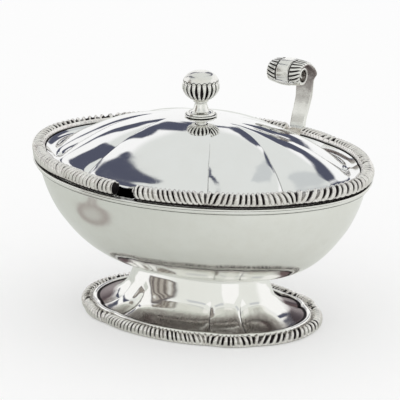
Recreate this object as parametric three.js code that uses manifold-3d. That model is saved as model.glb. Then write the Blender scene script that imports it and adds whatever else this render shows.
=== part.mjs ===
// Oval footed serving bowl in silver with a hinged, lobed lid.
// Millimetres, +Z up, +X along the long axis, +Y towards the hinge and its thumb lever.
// The origin is on the resting surface, under the middle of the bounding box.
import * as THREE from "three";
import { mergeVertices } from "three/addons/utils/BufferGeometryUtils.js";
import Module from "manifold-3d";

const wasm = await Module();
wasm.setup();

// ---------------------------------------------------------------- driving dimensions (mm)
const ORIGIN_SHIFT_Y = -4.19; // moves the middle of the bounding box onto the Z axis
const GAP = 0.3; // seam left between neighbouring pieces

const LID_RING_A = 115.0; // gadroon border of the lid, centre line, half length
const LID_RING_B = 86.3; // and half width
const LID_RING_Z = 106.1;
const LID_RING_R = 4.4;
const LID_POWER = 1.93; // exponent of the oval
const LID_CUSP = 1.3; // depth of the eight outline cusps
const LID_NODES = [31.3, 61.7]; // parameter angles of the panel creases, first quadrant

const FOOT_RING_A = 80.1;
const FOOT_RING_B = 57.4;
const FOOT_POWER = 2.16;
const FOOT_CUSP = 1.8;
const FOOT_NODES = [38.7, 62.5];

const RIM_TOP_Z = 100.3; // top of the bowl's rim
const SHEET = 1.3; // silver sheet
const NOTCH_W = 14.0; // spoon notch in the lid's front edge
const NOTCH_REACH_Y = -74.6; // its inner end

const HINGE_X = 19.3; // middle of the hinge along the rim
const HINGE_Y = 92.5; // hinge axis
const HINGE_Z = 103.5;
const HINGE_W = 14.0;
const KNUCKLE_R = 3.4;
const KNUCKLE_MID = 5.0; // length of the lid's knuckle
const PIN_R = 1.45;
const BORE_R = 1.55;

const LEVER_W = 10.8; // strap width at its foot
const LEVER_T = 3.4; // strap thickness
const ROLL_X = 18.0; // middle of the scroll roll
const ROLL_Y = 76.9; // and its axis
const ROLL_Z = 147.9;
const ROLL_R = 8.6;
const ROLL_HALF = 12.6;

const DOME_TOP_Z = 133.75;
const STUD_R = 2.0;
const STUD_BORE_R = 2.35;

// ---------------------------------------------------------------- helpers
const rad = (d) => (d * Math.PI) / 180;

// Closed body from positions and indices: shared vertices merged, slivers out, faces outward.
function closed(geometry) {
  let g = geometry.clone();
  for (const k of Object.keys(g.attributes))
    if (k !== "position") g.deleteAttribute(k);
  g = mergeVertices(g, 1e-4);
  const p = g.getAttribute("position").array;
  const src = g.index.array;
  const idx = [];
  let vol = 0;
  for (let i = 0; i < src.length; i += 3) {
    const [a, b, c] = [src[i], src[i + 1], src[i + 2]];
    if (a === b || b === c || c === a) continue;
    idx.push(a, b, c);
    const [ax, ay, az] = [p[3 * a], p[3 * a + 1], p[3 * a + 2]];
    const [bx, by, bz] = [p[3 * b], p[3 * b + 1], p[3 * b + 2]];
    const [cx, cy, cz] = [p[3 * c], p[3 * c + 1], p[3 * c + 2]];
    vol +=
      ax * (by * cz - bz * cy) - ay * (bx * cz - bz * cx) + az * (bx * cy - by * cx);
  }
  if (vol < 0)
    for (let i = 0; i < idx.length; i += 3)
      [idx[i + 1], idx[i + 2]] = [idx[i + 2], idx[i + 1]];
  g.setIndex(idx);
  return g;
}

function toSolid(geometry) {
  const g = closed(geometry);
  return new wasm.Manifold(
    new wasm.Mesh({
      numProp: 3,
      vertProperties: new Float32Array(g.getAttribute("position").array),
      triVerts: new Uint32Array(g.index.array),
    }),
  );
}

function fromSolid(solid) {
  const m = solid.getMesh();
  const v = new Float32Array(m.numVert * 3);
  for (let i = 0; i < m.numVert; i++)
    v.set(m.vertProperties.subarray(i * m.numProp, i * m.numProp + 3), i * 3);
  return new THREE.BufferGeometry()
    .setAttribute("position", new THREE.BufferAttribute(v, 3))
    .setIndex(new THREE.BufferAttribute(new Uint32Array(m.triVerts), 1));
}

// Parameter angles round the oval, with every crease on one of them, and the height of
// the convex panel at each: 0 on a crease, 1 on the crest of a wide panel.
function oval(nodes, power, wide = 8, narrow = 5) {
  const [a, b] = nodes;
  const n = [a, b, 180 - b, 180 - a, 180 + a, 180 + b, 360 - b, 360 - a];
  const out = [];
  n.forEach((from, i) => {
    const to = i === 7 ? n[0] + 360 : n[i + 1];
    const isWide = to - from > 40;
    const k = isWide ? wide : narrow;
    for (let j = 0; j < k; j++) {
      const u = j / k;
      out.push({
        t: rad(from + (to - from) * u),
        h: (isWide ? 1 : 0.8) * 4 * u * (1 - u),
      });
    }
  });
  return { stations: out, e: 2 / power };
}
const lidOval = oval(LID_NODES, LID_POWER);
const footOval = oval(FOOT_NODES, FOOT_POWER);

const spow = (v, e) => Math.sign(v) * Math.abs(v) ** e;

// A body with oval sections: profile points are [half length, half width, z, cusp, dip].
// The cusp draws the outline in at the creases, the dip lowers the surface there.
// The profile closes on itself, or starts and ends on the axis.
function ovalBody(profile, path) {
  const n = path.stations.length;
  const m = profile.length;
  const g = new THREE.LatheGeometry(
    profile.map((q) => new THREE.Vector2(q[0], q[2])),
    n,
  );
  const pos = g.getAttribute("position");
  for (let i = 0; i <= n; i++) {
    const s = path.stations[i % n];
    for (let j = 0; j < m; j++) {
      const [A, B, z, cusp = 0, dip = 0] = profile[j];
      let x = A * spow(Math.cos(s.t), path.e);
      let y = B * spow(Math.sin(s.t), path.e);
      const r = Math.hypot(x, y);
      if (r > 1e-6) {
        const k = 1 - (cusp * (1 - s.h - 0.35)) / r;
        x *= k;
        y *= k;
      }
      pos.setXYZ(i * m + j, x, y, z - dip * (1 - s.h));
    }
  }
  return closed(g);
}

// Round body about a vertical axis; profile points are [radius, z].
function turned(profile, segments = 24) {
  const g = new THREE.LatheGeometry(
    profile.map(([r, z]) => new THREE.Vector2(r, z)),
    segments,
  );
  g.rotateX(Math.PI / 2);
  return closed(g);
}

// Round body about an axis along X through (x, y, z); profile points are [radius, along].
function turnedX(profile, x, y, z, segments = 20) {
  const g = new THREE.LatheGeometry(
    profile.map(([r, a]) => new THREE.Vector2(r, a)),
    segments,
  );
  g.rotateZ(-Math.PI / 2);
  g.translate(x, y, z);
  return closed(g);
}

function block(x0, x1, y0, y1, z0, z1) {
  const g = new THREE.BoxGeometry(x1 - x0, y1 - y0, z1 - z0);
  g.translate((x0 + x1) / 2, (y0 + y1) / 2, (z0 + z1) / 2);
  return g;
}

// Flat outline in X and Y, raised from z0 to z1.
function plate(points, z0, z1) {
  const g = new THREE.ExtrudeGeometry(
    new THREE.Shape(points.map(([x, y]) => new THREE.Vector2(x, y))),
    { depth: z1 - z0, bevelEnabled: false },
  );
  g.translate(0, 0, z0);
  return g;
}

const silver = (color, roughness) =>
  new THREE.MeshStandardMaterial({ color, roughness, metalness: 1.0 });

const model = new THREE.Group();
function add(name, geometry, material) {
  const mesh = new THREE.Mesh(geometry, material);
  mesh.name = name;
  model.add(mesh);
}

// ---------------------------------------------------------------- bowl
// Outer face of the bowl from the middle of its floor up to the rim.
const bowlOuter = [
  [0, 0, 35.5],
  [42, 26.5, 35.5],
  [54, 34.4, 35.9],
  [62, 40.0, 36.8],
  [70, 46.0, 39.0],
  [79.5, 54.2, 44.0],
  [87.2, 61.6, 50.0],
  [93.0, 67.4, 56.0],
  [98.2, 72.6, 62.5],
  [102.9, 77.1, 69.0],
  [107.2, 81.0, 77.0],
  [110.6, 83.7, 85.0],
  [113.0, 85.6, 93.0],
  [113.9, 86.3, RIM_TOP_Z],
];
const bowlInner = bowlOuter.slice(0, -1).map(([A, B, z], i) => {
  if (A === 0) return [0, 0, z + SHEET];
  const [A0, , z0] = bowlOuter[i - 1];
  const [A1, , z1] = bowlOuter[i + 1];
  const l = Math.hypot(A1 - A0, z1 - z0);
  const nx = (z1 - z0) / l;
  const nz = (A1 - A0) / l;
  return [A - SHEET * nx, B - SHEET * nx, z + SHEET * nz];
}).filter((_, i) => i % 2 === 0);
add(
  "bowl_body",
  ovalBody(
    [
      ...bowlOuter,
      [112.5, 84.9, RIM_TOP_Z],
      ...bowlInner.reverse(),
    ],
    lidOval,
  ),
  silver(0xc9cbc4, 0.12),
);

add(
  "bowl_rim_moulding",
  ovalBody(
    [
      [114.3, 86.7, 96.2],
      [115.6, 88.0, 95.8],
      [117.2, 89.6, 97.4],
      [118.3, 90.1, 98.9],
      [118.3, 90.1, RIM_TOP_Z],
      [114.3, 86.7, RIM_TOP_Z],
      [114.3, 86.7, 96.2],
    ],
    lidOval,
  ),
  silver(0xd2d2cc, 0.12),
);

// ---------------------------------------------------------------- foot
// Raised pedestal: a tube under the bowl's floor that spreads into eight lobed panels.
const footOuter = [
  [51.5, 30.8, 35.35, 0, 0],
  [48.6, 28.0, 31.0, 0, 0],
  [48.0, 27.4, 26.5, 0, 0],
  [49.6, 29.0, 22.5, 0.3, 0],
  [52.2, 31.6, 18.5, 0.9, 0],
  [55.0, 34.2, 14.8, 1.6, 0],
  [58.7, 37.5, 11.3, 2.2, 0],
  [63.0, 41.3, 8.7, 2.6, 0],
  [67.8, 45.7, 7.0, 2.6, 0.3],
  [72.0, 49.6, 6.0, 2.2, 0.3],
  [76.3, 53.6, 6.0, 1.8, 0],
];
const footInner = footOuter.map(([A, B, z, c, d], i) => {
  const p = footOuter[Math.max(i - 1, 0)];
  const q = footOuter[Math.min(i + 1, footOuter.length - 1)];
  const l = Math.hypot(q[0] - p[0], q[2] - p[2]);
  const nx = (p[2] - q[2]) / l;
  const nz = (q[0] - p[0]) / l;
  if (i === 0) return [A - SHEET, B - SHEET, z, c, d];
  if (i === footOuter.length - 1) return [A, B, z - SHEET, c, d];
  return [A - SHEET * nx, B - SHEET * nx, z - SHEET * nz, c, d];
}).filter((_, i) => ![5, 7, 9].includes(i));
add(
  "foot_pedestal",
  ovalBody([...footOuter, ...footInner.reverse(), footOuter[0]], footOval),
  silver(0xd6d8d4, 0.1),
);

// Gadroon border of the foot, with the flat underside that the bowl stands on.
const footSection = [
  [-2.9, 0], [-3.5, 1.5], [-3.6, 3.9], [-2.9, 5.9], [-1.6, 7.1], [0, 7.5],
  [1.6, 7.1], [2.9, 5.9], [3.6, 3.9], [3.5, 1.5], [2.9, 0],
];
add(
  "foot_gadroon_border",
  ovalBody(
    [...footSection, footSection[0]].map(([d, z]) => [
      FOOT_RING_A + d, FOOT_RING_B + d, z, FOOT_CUSP, 0,
    ]),
    footOval,
  ),
  silver(0xb9b6b0, 0.22),
);

// ---------------------------------------------------------------- lid sheet
// Upper face from the stud hole out to the valley at the dome's edge, the cove beside the
// border, and the flange that carries the border.
const lidTop = [
  [STUD_BORE_R, STUD_BORE_R, DOME_TOP_Z, 0, 0],
  [12.5, 11.5, DOME_TOP_Z - 0.25, 0, 0],
  [25.0, 18.6, 132.6, 0, 0.1],
  [37.0, 27.0, 130.7, 0, 0.5],
  [48.0, 34.9, 128.4, 0, 1.4],
  [60.0, 43.6, 125.1, 0, 2.3],
  [71.0, 51.6, 121.0, 0.2, 3.1],
  [81.0, 58.8, 116.3, 0.5, 3.5],
  [90.0, 65.3, 111.6, 0.9, 3.4],
  [97.5, 70.7, 107.2, 1.3, 2.6],
  [102.0, 74.0, 104.4, 1.5, 1.3],
  [104.5, 75.9, 103.3, 1.6, 0.5],
];
const lidEdge = [
  [107.6, 78.9, 104.1, 1.5, 0],
  [110.0, 81.3, 105.6, LID_CUSP, 0],
  [110.25, 81.55, 101.4, LID_CUSP, 0],
  [116.4, 87.7, 101.4, LID_CUSP, 0],
  [116.4, 87.7, 100.7, LID_CUSP, 0],
  [109.8, 81.1, 100.7, LID_CUSP, 0],
  [106.6, 77.9, 101.2, 1.5, 0],
];
const lidUnder = lidTop
  .filter((_, i) => i !== 2 && i !== 4)
  .map(([A, B, z, c, d]) =>
    A < 13 ? [A, B, z - SHEET, c, d] : [A - 0.3, B - 0.3, z - SHEET, c, d],
  )
  .reverse();
const notchTool = toSolid(
  plate(
    [
      [-NOTCH_W / 2, -110],
      [NOTCH_W / 2, -110],
      ...Array.from({ length: 13 }, (_, i) => [
        (NOTCH_W / 2) * Math.cos((Math.PI * i) / 12),
        NOTCH_REACH_Y - NOTCH_W / 2 + (NOTCH_W / 2) * Math.sin((Math.PI * i) / 12),
      ]),
    ],
    90,
    115,
  ),
);
const lidSheet = toSolid(ovalBody([...lidTop, ...lidEdge, ...lidUnder, lidTop[0]], lidOval));
add("lid_dome", fromSolid(lidSheet.subtract(notchTool)), silver(0xdadcdc, 0.08));

// Locating bezel under the lid, open at the spoon notch.
const bezel = toSolid(
  ovalBody(
    [
      [109.9, 82.3, 94.2],
      [110.9, 83.3, 94.2],
      [110.9, 83.3, 100.35],
      [109.9, 82.3, 100.35],
      [109.9, 82.3, 94.2],
    ],
    lidOval,
  ),
);
add("lid_bezel", fromSolid(bezel.subtract(notchTool)), silver(0xc8c8c2, 0.15));

// ---------------------------------------------------------------- lid gadroon border
// One moulded wire round the lid, in two lengths between the spoon notch and the hinge.
const ringSection = Array.from({ length: 13 }, (_, i) => [
  LID_RING_R * Math.cos((Math.PI * 2 * i) / 12),
  LID_RING_R * Math.sin((Math.PI * 2 * i) / 12),
]);
const ring = toSolid(
  ovalBody(
    ringSection.map(([d, z]) => [
      LID_RING_A + d, LID_RING_B + d, LID_RING_Z + z, LID_CUSP, 0,
    ]),
    lidOval,
  ),
);
const gapL = HINGE_X - HINGE_W / 2 - GAP;
const gapR = HINGE_X + HINGE_W / 2 + GAP;
const leftHalf = toSolid(
  plate(
    [[-150, -150], [-NOTCH_W / 2 - 0.1, -150], [-NOTCH_W / 2 - 0.1, 0], [gapL, 0], [gapL, 150], [-150, 150]],
    90,
    120,
  ),
);
const rightHalf = toSolid(
  plate(
    [[NOTCH_W / 2 + 0.1, -150], [150, -150], [150, 150], [gapR, 150], [gapR, 0], [NOTCH_W / 2 + 0.1, 0]],
    90,
    120,
  ),
);
add("lid_gadroon_left", fromSolid(ring.intersect(leftHalf)), silver(0xb9b6b0, 0.22));
add("lid_gadroon_right", fromSolid(ring.intersect(rightHalf)), silver(0xb9b6b0, 0.22));

// ---------------------------------------------------------------- hinge
const pinTool = toSolid(
  turnedX([[0, -20], [BORE_R, -20], [BORE_R, 20], [0, 20]], HINGE_X, HINGE_Y, HINGE_Z, 32),
);
const knuckle = (x0, x1) =>
  toSolid(
    turnedX([[0, x0], [KNUCKLE_R, x0], [KNUCKLE_R, x1], [0, x1]], 0, HINGE_Y, HINGE_Z, 24),
  );
const hx0 = HINGE_X - HINGE_W / 2;
const hx1 = HINGE_X + HINGE_W / 2;
const mx0 = HINGE_X - KNUCKLE_MID / 2;
const mx1 = HINGE_X + KNUCKLE_MID / 2;

// Leaf on the lid: a smooth arched saddle that fills the gap in the gadroon border and
// follows the raised wall of the lid's sheet.
const leafSide = new THREE.Shape(
  [
    [79.0, 101.8], [88.6, 101.8], [88.6, 106.9], [87.6, 107.5], [84.0, 107.6],
    [81.0, 106.9], [79.0, 105.6],
  ].map(([y, z]) => new THREE.Vector2(y, z)),
);
const leafFront = toSolid(
  ovalBody(
    [[0, 0, 98], [110.6, 81.9, 98, LID_CUSP], [110.6, 81.9, 112, LID_CUSP], [0, 0, 112]],
    lidOval,
  ),
);
const leafGeo = new THREE.ExtrudeGeometry(leafSide, { depth: HINGE_W, bevelEnabled: false });
// shape (y, z) with depth along x
leafGeo.applyMatrix4(
  new THREE.Matrix4().set(0, 0, 1, hx0, 1, 0, 0, 0, 0, 1, 0, 0, 0, 0, 0, 1),
);
add(
  "lid_hinge_leaf",
  fromSolid(
    toSolid(leafGeo)
      .add(toSolid(block(mx0, mx1, 88.2, 91.4, 101.9, 106.4)))
      .add(knuckle(mx0, mx1))
      .subtract(leafFront)
      .subtract(pinTool),
  ),
  silver(0xa79c92, 0.25),
);

// Bracket on the bowl: its block is hollowed to the outline of the rim moulding.
const rimPlug = toSolid(
  ovalBody([[0, 0, 90], [118.6, 90.4, 90], [118.6, 90.4, 110], [0, 0, 110]], lidOval),
);
add(
  "bowl_hinge_bracket",
  fromSolid(
    toSolid(block(hx0, hx1, 85, 95.2, 95.9, 99.4))
      .subtract(rimPlug)
      .add(toSolid(block(hx0, mx0 - GAP, 90.5, 95.2, 99.0, HINGE_Z)))
      .add(toSolid(block(mx1 + GAP, hx1, 90.5, 95.2, 99.0, HINGE_Z)))
      .add(knuckle(hx0, mx0 - GAP))
      .add(knuckle(mx1 + GAP, hx1))
      .subtract(pinTool),
  ),
  silver(0xa79c92, 0.25),
);

add(
  "hinge_pin",
  turnedX(
    [[0, hx0 - 0.6], [PIN_R, hx0 - 0.6], [PIN_R, hx1 + 0.6], [0, hx1 + 0.6]],
    0, HINGE_Y, HINGE_Z, 32,
  ),
  silver(0xb5aca2, 0.25),
);

// ---------------------------------------------------------------- thumb lever
// Strap: rises from the hinge leaf, leans out, widens, and arches over to the scroll roll.
const strapLine = new THREE.CatmullRomCurve3( // its outer face
  [
    [89.4, 107.9], [90.4, 112.8], [94.6, 121.3], [97.5, 128.0], [98.8, 135.1], [99.19, 139.5],
    [98.7, 142.4], [97.0, 145.6], [93.4, 149.8], [89.6, 153.2], [85.5, 155.7], [81.5, 156.5], [78.0, 156.5],
  ].map(([y, z]) => new THREE.Vector3(0, y, z)),
);
const strapPts = strapLine.getSpacedPoints(18);
const strapSide = [];
const strapBack = [];
strapPts.forEach((p, i) => {
  const a = strapPts[Math.max(i - 1, 0)];
  const b = strapPts[Math.min(i + 1, strapPts.length - 1)];
  const l = Math.hypot(b.y - a.y, b.z - a.z);
  const ny = (b.z - a.z) / l;
  const nz = -(b.y - a.y) / l;
  // the foot of the strap is cut level, to stand on the leaf
  const flat = i === 0;
  strapSide.push(new THREE.Vector2(p.y, p.z));
  strapBack.push(new THREE.Vector2(p.y - ny * LEVER_T, flat ? p.z : p.z - nz * LEVER_T));
});
const strapGeo = new THREE.ExtrudeGeometry(
  new THREE.Shape([...strapSide, ...strapBack.reverse()]),
  { depth: 2 * ROLL_HALF + 4, bevelEnabled: false },
);
strapGeo.applyMatrix4(
  new THREE.Matrix4().set(
    0, 0, 1, ROLL_X - ROLL_HALF - 2, 1, 0, 0, 0, 0, 1, 0, 0, 0, 0, 0, 1,
  ),
);
// its outline seen from the front: height, middle and half width
const strapHalf = [
  [107, 19.3, LEVER_W / 2], [120, 19.1, 5.6], [130, 18.9, 6.3], [136, 18.8, 6.5], [140, 18.6, 7.4],
  [142.4, 18.4, 9.0], [145, 18.3, 10.4], [150, 18.1, 10.9], [155, 18.0, 11.6], [162, 18.0, 12.2],
];
const strapFront = new THREE.ExtrudeGeometry(
  new THREE.Shape([
    ...strapHalf.map(([z, x, h]) => new THREE.Vector2(x + h, z)),
    ...strapHalf.map(([z, x, h]) => new THREE.Vector2(x - h, z)).reverse(),
  ]),
  { depth: 60, bevelEnabled: false },
);
strapFront.applyMatrix4(
  new THREE.Matrix4().set(1, 0, 0, 0, 0, 0, 1, 60, 0, 1, 0, 0, 0, 0, 0, 1),
);
const rollTool = toSolid(
  turnedX([[0, -20], [ROLL_R + 0.35, -20], [ROLL_R + 0.35, 20], [0, 20]], ROLL_X, ROLL_Y, ROLL_Z, 32),
);
add(
  "lever_strap",
  fromSolid(toSolid(strapGeo).intersect(toSolid(strapFront)).subtract(rollTool)),
  silver(0xc2c2ba, 0.16),
);

add(
  "lever_scroll_roll",
  turnedX(
    [
      [0, -ROLL_HALF], [6.2, -ROLL_HALF], [7.0, -ROLL_HALF + 0.8], [7.9, -8.5], [8.3, -5.4],
      [7.0, -4.9], [7.0, 4.9], [8.3, 5.4], [7.9, 8.5], [7.0, ROLL_HALF - 0.8],
      [6.2, ROLL_HALF], [0, ROLL_HALF],
    ],
    ROLL_X, ROLL_Y, ROLL_Z, 24,
  ),
  silver(0xb9b6b0, 0.2),
);

add(
  "lever_roll_band",
  turnedX(
    [[7.35, -4.3], [8.3, -4.3], [ROLL_R, 0], [8.3, 4.3], [7.35, 4.3], [7.35, -4.3]],
    ROLL_X, ROLL_Y, ROLL_Z, 24,
  ),
  silver(0xcccac0, 0.14),
);

// ---------------------------------------------------------------- finial
add(
  "finial_base_plate",
  turned(
    [
      [STUD_BORE_R, 134.1], [10.5, 134.1], [10.6, 134.7], [9.2, 135.4], [8.9, 136.1],
      [6.2, 136.7], [STUD_BORE_R, 136.7], [STUD_BORE_R, 134.1],
    ],
    28,
  ),
  silver(0xd0d0cc, 0.12),
);
add(
  "finial_stem",
  turned(
    [
      [STUD_BORE_R, 137.0], [5.5, 137.0], [5.1, 138.4], [4.5, 140.6], [4.3, 142.3],
      [4.5, 143.4], [5.2, 144.2], [0, 144.2], [0, 140.8], [STUD_BORE_R, 140.8],
      [STUD_BORE_R, 137.0],
    ],
    24,
  ),
  silver(0xd0d0cc, 0.12),
);
add(
  "finial_knob_lobes",
  turned(
    [
      [0, 144.5], [5.4, 144.5], [8.6, 146.4], [11.0, 149.2], [12.1, 152.2],
      [11.9, 154.7], [11.3, 155.7], [0, 155.7],
    ],
    32,
  ),
  silver(0xb9b6b0, 0.2),
);
add(
  "finial_knob_cap",
  turned(
    [
      [0, 156.0], [11.3, 156.0], [11.0, 157.4], [9.6, 159.6], [7.1, 161.6],
      [3.7, 162.9], [0, 163.3],
    ],
    28,
  ),
  silver(0xdadcd8, 0.1),
);
add(
  "finial_stud",
  turned([[0, 127.4], [STUD_R, 127.4], [STUD_R, 140.4], [0, 140.4]], 16),
  silver(0x9c9a92, 0.3),
);
add(
  "finial_washer",
  turned(
    [[STUD_BORE_R, 131.3], [6.0, 131.3], [6.0, 132.1], [STUD_BORE_R, 132.1], [STUD_BORE_R, 131.3]],
    24,
  ),
  silver(0x9c9a92, 0.3),
);
add(
  "finial_nut",
  turned(
    [[STUD_BORE_R, 128.2], [4.4, 128.2], [4.4, 131.0], [STUD_BORE_R, 131.0], [STUD_BORE_R, 128.2]],
    6,
  ),
  silver(0x9c9a92, 0.3),
);

model.position.y = ORIGIN_SHIFT_Y;
export default model;
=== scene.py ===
"""Oval footed silver serving bowl with a hinged, lobed lid: its looks. Row frame, metres."""
import math

import bmesh
import bpy
import numpy as np
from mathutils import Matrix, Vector


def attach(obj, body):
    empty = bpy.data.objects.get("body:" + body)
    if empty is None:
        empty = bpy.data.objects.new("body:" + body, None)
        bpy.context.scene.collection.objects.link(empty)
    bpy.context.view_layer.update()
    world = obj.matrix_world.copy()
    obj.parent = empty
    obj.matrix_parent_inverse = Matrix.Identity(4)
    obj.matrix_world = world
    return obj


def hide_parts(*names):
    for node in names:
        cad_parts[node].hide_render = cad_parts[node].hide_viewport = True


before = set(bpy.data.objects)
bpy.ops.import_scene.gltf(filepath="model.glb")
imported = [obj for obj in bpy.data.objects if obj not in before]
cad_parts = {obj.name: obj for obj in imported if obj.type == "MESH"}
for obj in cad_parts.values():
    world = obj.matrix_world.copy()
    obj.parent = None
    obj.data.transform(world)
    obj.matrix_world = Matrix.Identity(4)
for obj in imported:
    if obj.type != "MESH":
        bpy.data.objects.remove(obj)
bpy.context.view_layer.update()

MM = 0.001
SHIFT_Y = -4.19

# ------------------------------------------------------------------ curves and grids


def smooth(points, n):
    """A monotone cubic through rows of numbers, resampled at n places spaced by length."""
    p = np.array(points, float)
    d = np.hypot(np.diff(p[:, 0]), np.diff(p[:, 2] if p.shape[1] > 2 else p[:, 1]))
    s = np.concatenate([[0], np.cumsum(np.maximum(d, 1e-6))])
    h = np.diff(s)
    out = np.empty((n, p.shape[1]))
    q = np.linspace(0, s[-1], n)
    k = np.clip(np.searchsorted(s, q, side="right") - 1, 0, len(s) - 2)
    u = (q - s[k]) / h[k]
    for c in range(p.shape[1]):
        y = p[:, c]
        m = np.diff(y) / h
        t = np.empty(len(y))
        t[0], t[-1] = m[0], m[-1]
        for i in range(1, len(y) - 1):
            if m[i - 1] * m[i] <= 0:
                t[i] = 0
            else:
                a, b = 2 * h[i] + h[i - 1], h[i] + 2 * h[i - 1]
                t[i] = (a + b) / (a / m[i - 1] + b / m[i])
        h00, h10 = (1 + 2 * u) * (1 - u) ** 2, u * (1 - u) ** 2
        h01, h11 = u * u * (3 - 2 * u), u * u * (u - 1)
        out[:, c] = h00 * y[k] + h10 * h[k] * t[k] + h01 * y[k + 1] + h11 * h[k] * t[k + 1]
    return out


def step(a, b, x):
    t = np.clip((x - a) / (b - a), 0, 1)
    return t * t * (3 - 2 * t)


LID = {"nodes": (31.3, 61.7), "e": 2 / 1.93, "along": "A",
       "a": ([12, 25, 44, 52, 73, 87, 100, 106], [6, 9, 14, 17, 24.5, 27.5, 30, 31.3]),
       "b": ([12, 25, 35, 48, 73, 90, 100, 106], [44, 49, 53, 57, 60, 61, 61.4, 61.7])}
FOOT = {"nodes": (38.7, 62.5), "e": 2 / 2.16, "along": "z",
        "a": ([6, 15, 24, 35], [38.7, 36.5, 33.0, 31.5]),
        "b": ([6, 15, 24, 35], [62.5, 62.0, 60.5, 59.5])}


def spow(v, e):
    return np.sign(v) * np.abs(v) ** e


def panel_ends(o):
    a, b = o["nodes"]
    n = [a, b, 180 - b, 180 - a, 180 + a, 180 + b, 360 - b, 360 - a]
    return [(n[i], n[i + 1] if i < 7 else n[0] + 360) for i in range(8)]


def stations(o, wide, narrow, A=100.0, B=75.0, crowd=0.0):
    """Parameter angle, panel height and place in the panel of stations spaced along each panel, crowded
    towards its ends. wide and narrow are how many stations a panel has."""
    t, h, u, seg = [], [], [], []
    for i, (f, to) in enumerate(panel_ends(o)):
        w = to - f > 40
        k = wide if w else narrow
        dense = np.linspace(0, 1, 400)
        td = np.radians(f + (to - f) * dense)
        x, y = A * spow(np.cos(td), o["e"]), B * spow(np.sin(td), o["e"])
        s = np.concatenate([[0], np.cumsum(np.hypot(np.diff(x), np.diff(y)))])
        even = np.arange(k) / k
        even = even - crowd * np.sin(2 * math.pi * even) / (2 * math.pi)
        q = np.interp(even * s[-1], s, dense)
        t.append(np.radians(f + (to - f) * q))
        h.append((1 if w else 0.8) * 4 * q * (1 - q))
        u.append(q)
        seg.append(np.full(k, i))
    return tuple(np.concatenate(v) for v in (t, h, u, seg))


def oval_points(o, A, B, z, cusp, dip, t, h):
    """Points of an oval section; every argument but o may be an array."""
    x, y = A * spow(np.cos(t), o["e"]), B * spow(np.sin(t), o["e"])
    r = np.maximum(np.hypot(x, y), 1e-6)
    k = 1 - cusp * (1 - h - 0.35) / r
    return np.stack([x * k, y * k + SHIFT_Y, z - dip * (1 - h)], -1)


def oval_grid(o, profile, st):
    """(profile points, stations, 3) for rows of half length, half width, z, cusp, dip."""
    p = np.zeros((len(profile), 5))
    for i, row in enumerate(profile):
        p[i, : len(row)] = row
    t, h = st[0], st[1]
    return oval_points(
        o, p[:, 0:1], p[:, 1:2], p[:, 2:3], p[:, 3:4], p[:, 4:5], t[None, :], h[None, :]
    )


def creased_grid(o, profile, st, pinch, dip_power):
    """Like oval_grid, but each row has creases at angles of its own, hollows the panels' ends with a
    flatter crown, and sinks a narrow pinch of the given depth and width in mm along the creases."""
    p = np.zeros((len(profile), 5))
    for i, row in enumerate(profile):
        p[i, : len(row)] = row
    q, seg = st[2], st[3].astype(int)
    c = p[:, 0] if o["along"] == "A" else p[:, 2]
    a, b = np.interp(c, *o["a"]), np.interp(c, *o["b"])
    n = np.stack([a, b, 180 - b, 180 - a, 180 + a, 180 + b, 360 - b, 360 - a, 360 + a], 1)
    f, to = n[:, seg], n[:, seg + 1]
    t = np.radians(f + (to - f) * q[None, :])
    wide = np.where(seg % 2 == 1, 1.0, 0.8)[None, :]
    h = wide * 4 * q * (1 - q)[None, :]
    crown = wide * (1 - np.abs(2 * q - 1) ** dip_power)[None, :]
    A, B, z, cusp, dip = (p[:, i : i + 1] for i in range(5))
    x, y = A * spow(np.cos(t), o["e"]), B * spow(np.sin(t), o["e"])
    r = np.maximum(np.hypot(x, y), 1e-6)
    # length along the row from the nearer crease
    d = np.hypot(np.diff(x, axis=1, append=x[:, :1]), np.diff(y, axis=1, append=y[:, :1]))
    arc_ = np.zeros_like(x)
    for i in range(8):
        own = np.flatnonzero(seg == i)
        s_ = np.cumsum(d[:, own], 1) - d[:, own]
        whole = d[:, own].sum(1, keepdims=True)
        arc_[:, own] = np.minimum(s_, whole - s_)
    amp, width = pinch(p)
    fork = amp[:, None] * np.exp(-((arc_ / width) ** 1.3))
    k = 1 - (cusp * (1 - h - 0.35) + 0.35 * fork) / r
    return np.stack([x * k, y * k + SHIFT_Y, np.broadcast_to(z - dip * (1 - crown) - fork, x.shape)], -1)


def grid_faces(rows, cols, close_rows, close_cols=True, flip=False):
    """Quads of a grid of rows by cols."""
    f = []
    r1 = rows if close_rows else rows - 1
    c1 = cols if close_cols else cols - 1
    i = np.arange(r1)[:, None]
    j = np.arange(c1)[None, :]
    i2, j2 = (i + 1) % rows, (j + 1) % cols
    q = [i * cols + j, i * cols + j2, i2 * cols + j2, i2 * cols + j]
    f = np.stack([np.broadcast_to(a, (r1, c1)).ravel() for a in q], 1)
    return f[:, ::-1] if flip else f


def mesh_of(name, verts, faces, attrs=None):
    me = bpy.data.meshes.new(name)
    me.from_pydata((np.asarray(verts, float) * MM).tolist(), [], [list(map(int, f)) for f in faces])
    if attrs:
        for k, v in attrs.items():
            a = me.attributes.new(k, "FLOAT", "POINT")
            a.data.foreach_set("value", np.asarray(v, np.float32).ravel())
    me.validate()
    bm = bmesh.new()
    bm.from_mesh(me)
    bmesh.ops.remove_doubles(bm, verts=bm.verts, dist=1e-7)
    bmesh.ops.recalc_face_normals(bm, faces=bm.faces)
    bm.to_mesh(me)
    bm.free()
    return me


def piece(name, me, body, nodes, mat, sharp=35):
    ob = bpy.data.objects.new(name, me)
    bpy.context.scene.collection.objects.link(ob)
    for p in me.polygons:
        p.use_smooth = True
    if sharp:
        me.set_sharp_from_angle(angle=math.radians(sharp))
    me.materials.clear()
    me.materials.append(mat)
    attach(ob, body)
    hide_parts(*nodes)
    return ob


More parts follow.
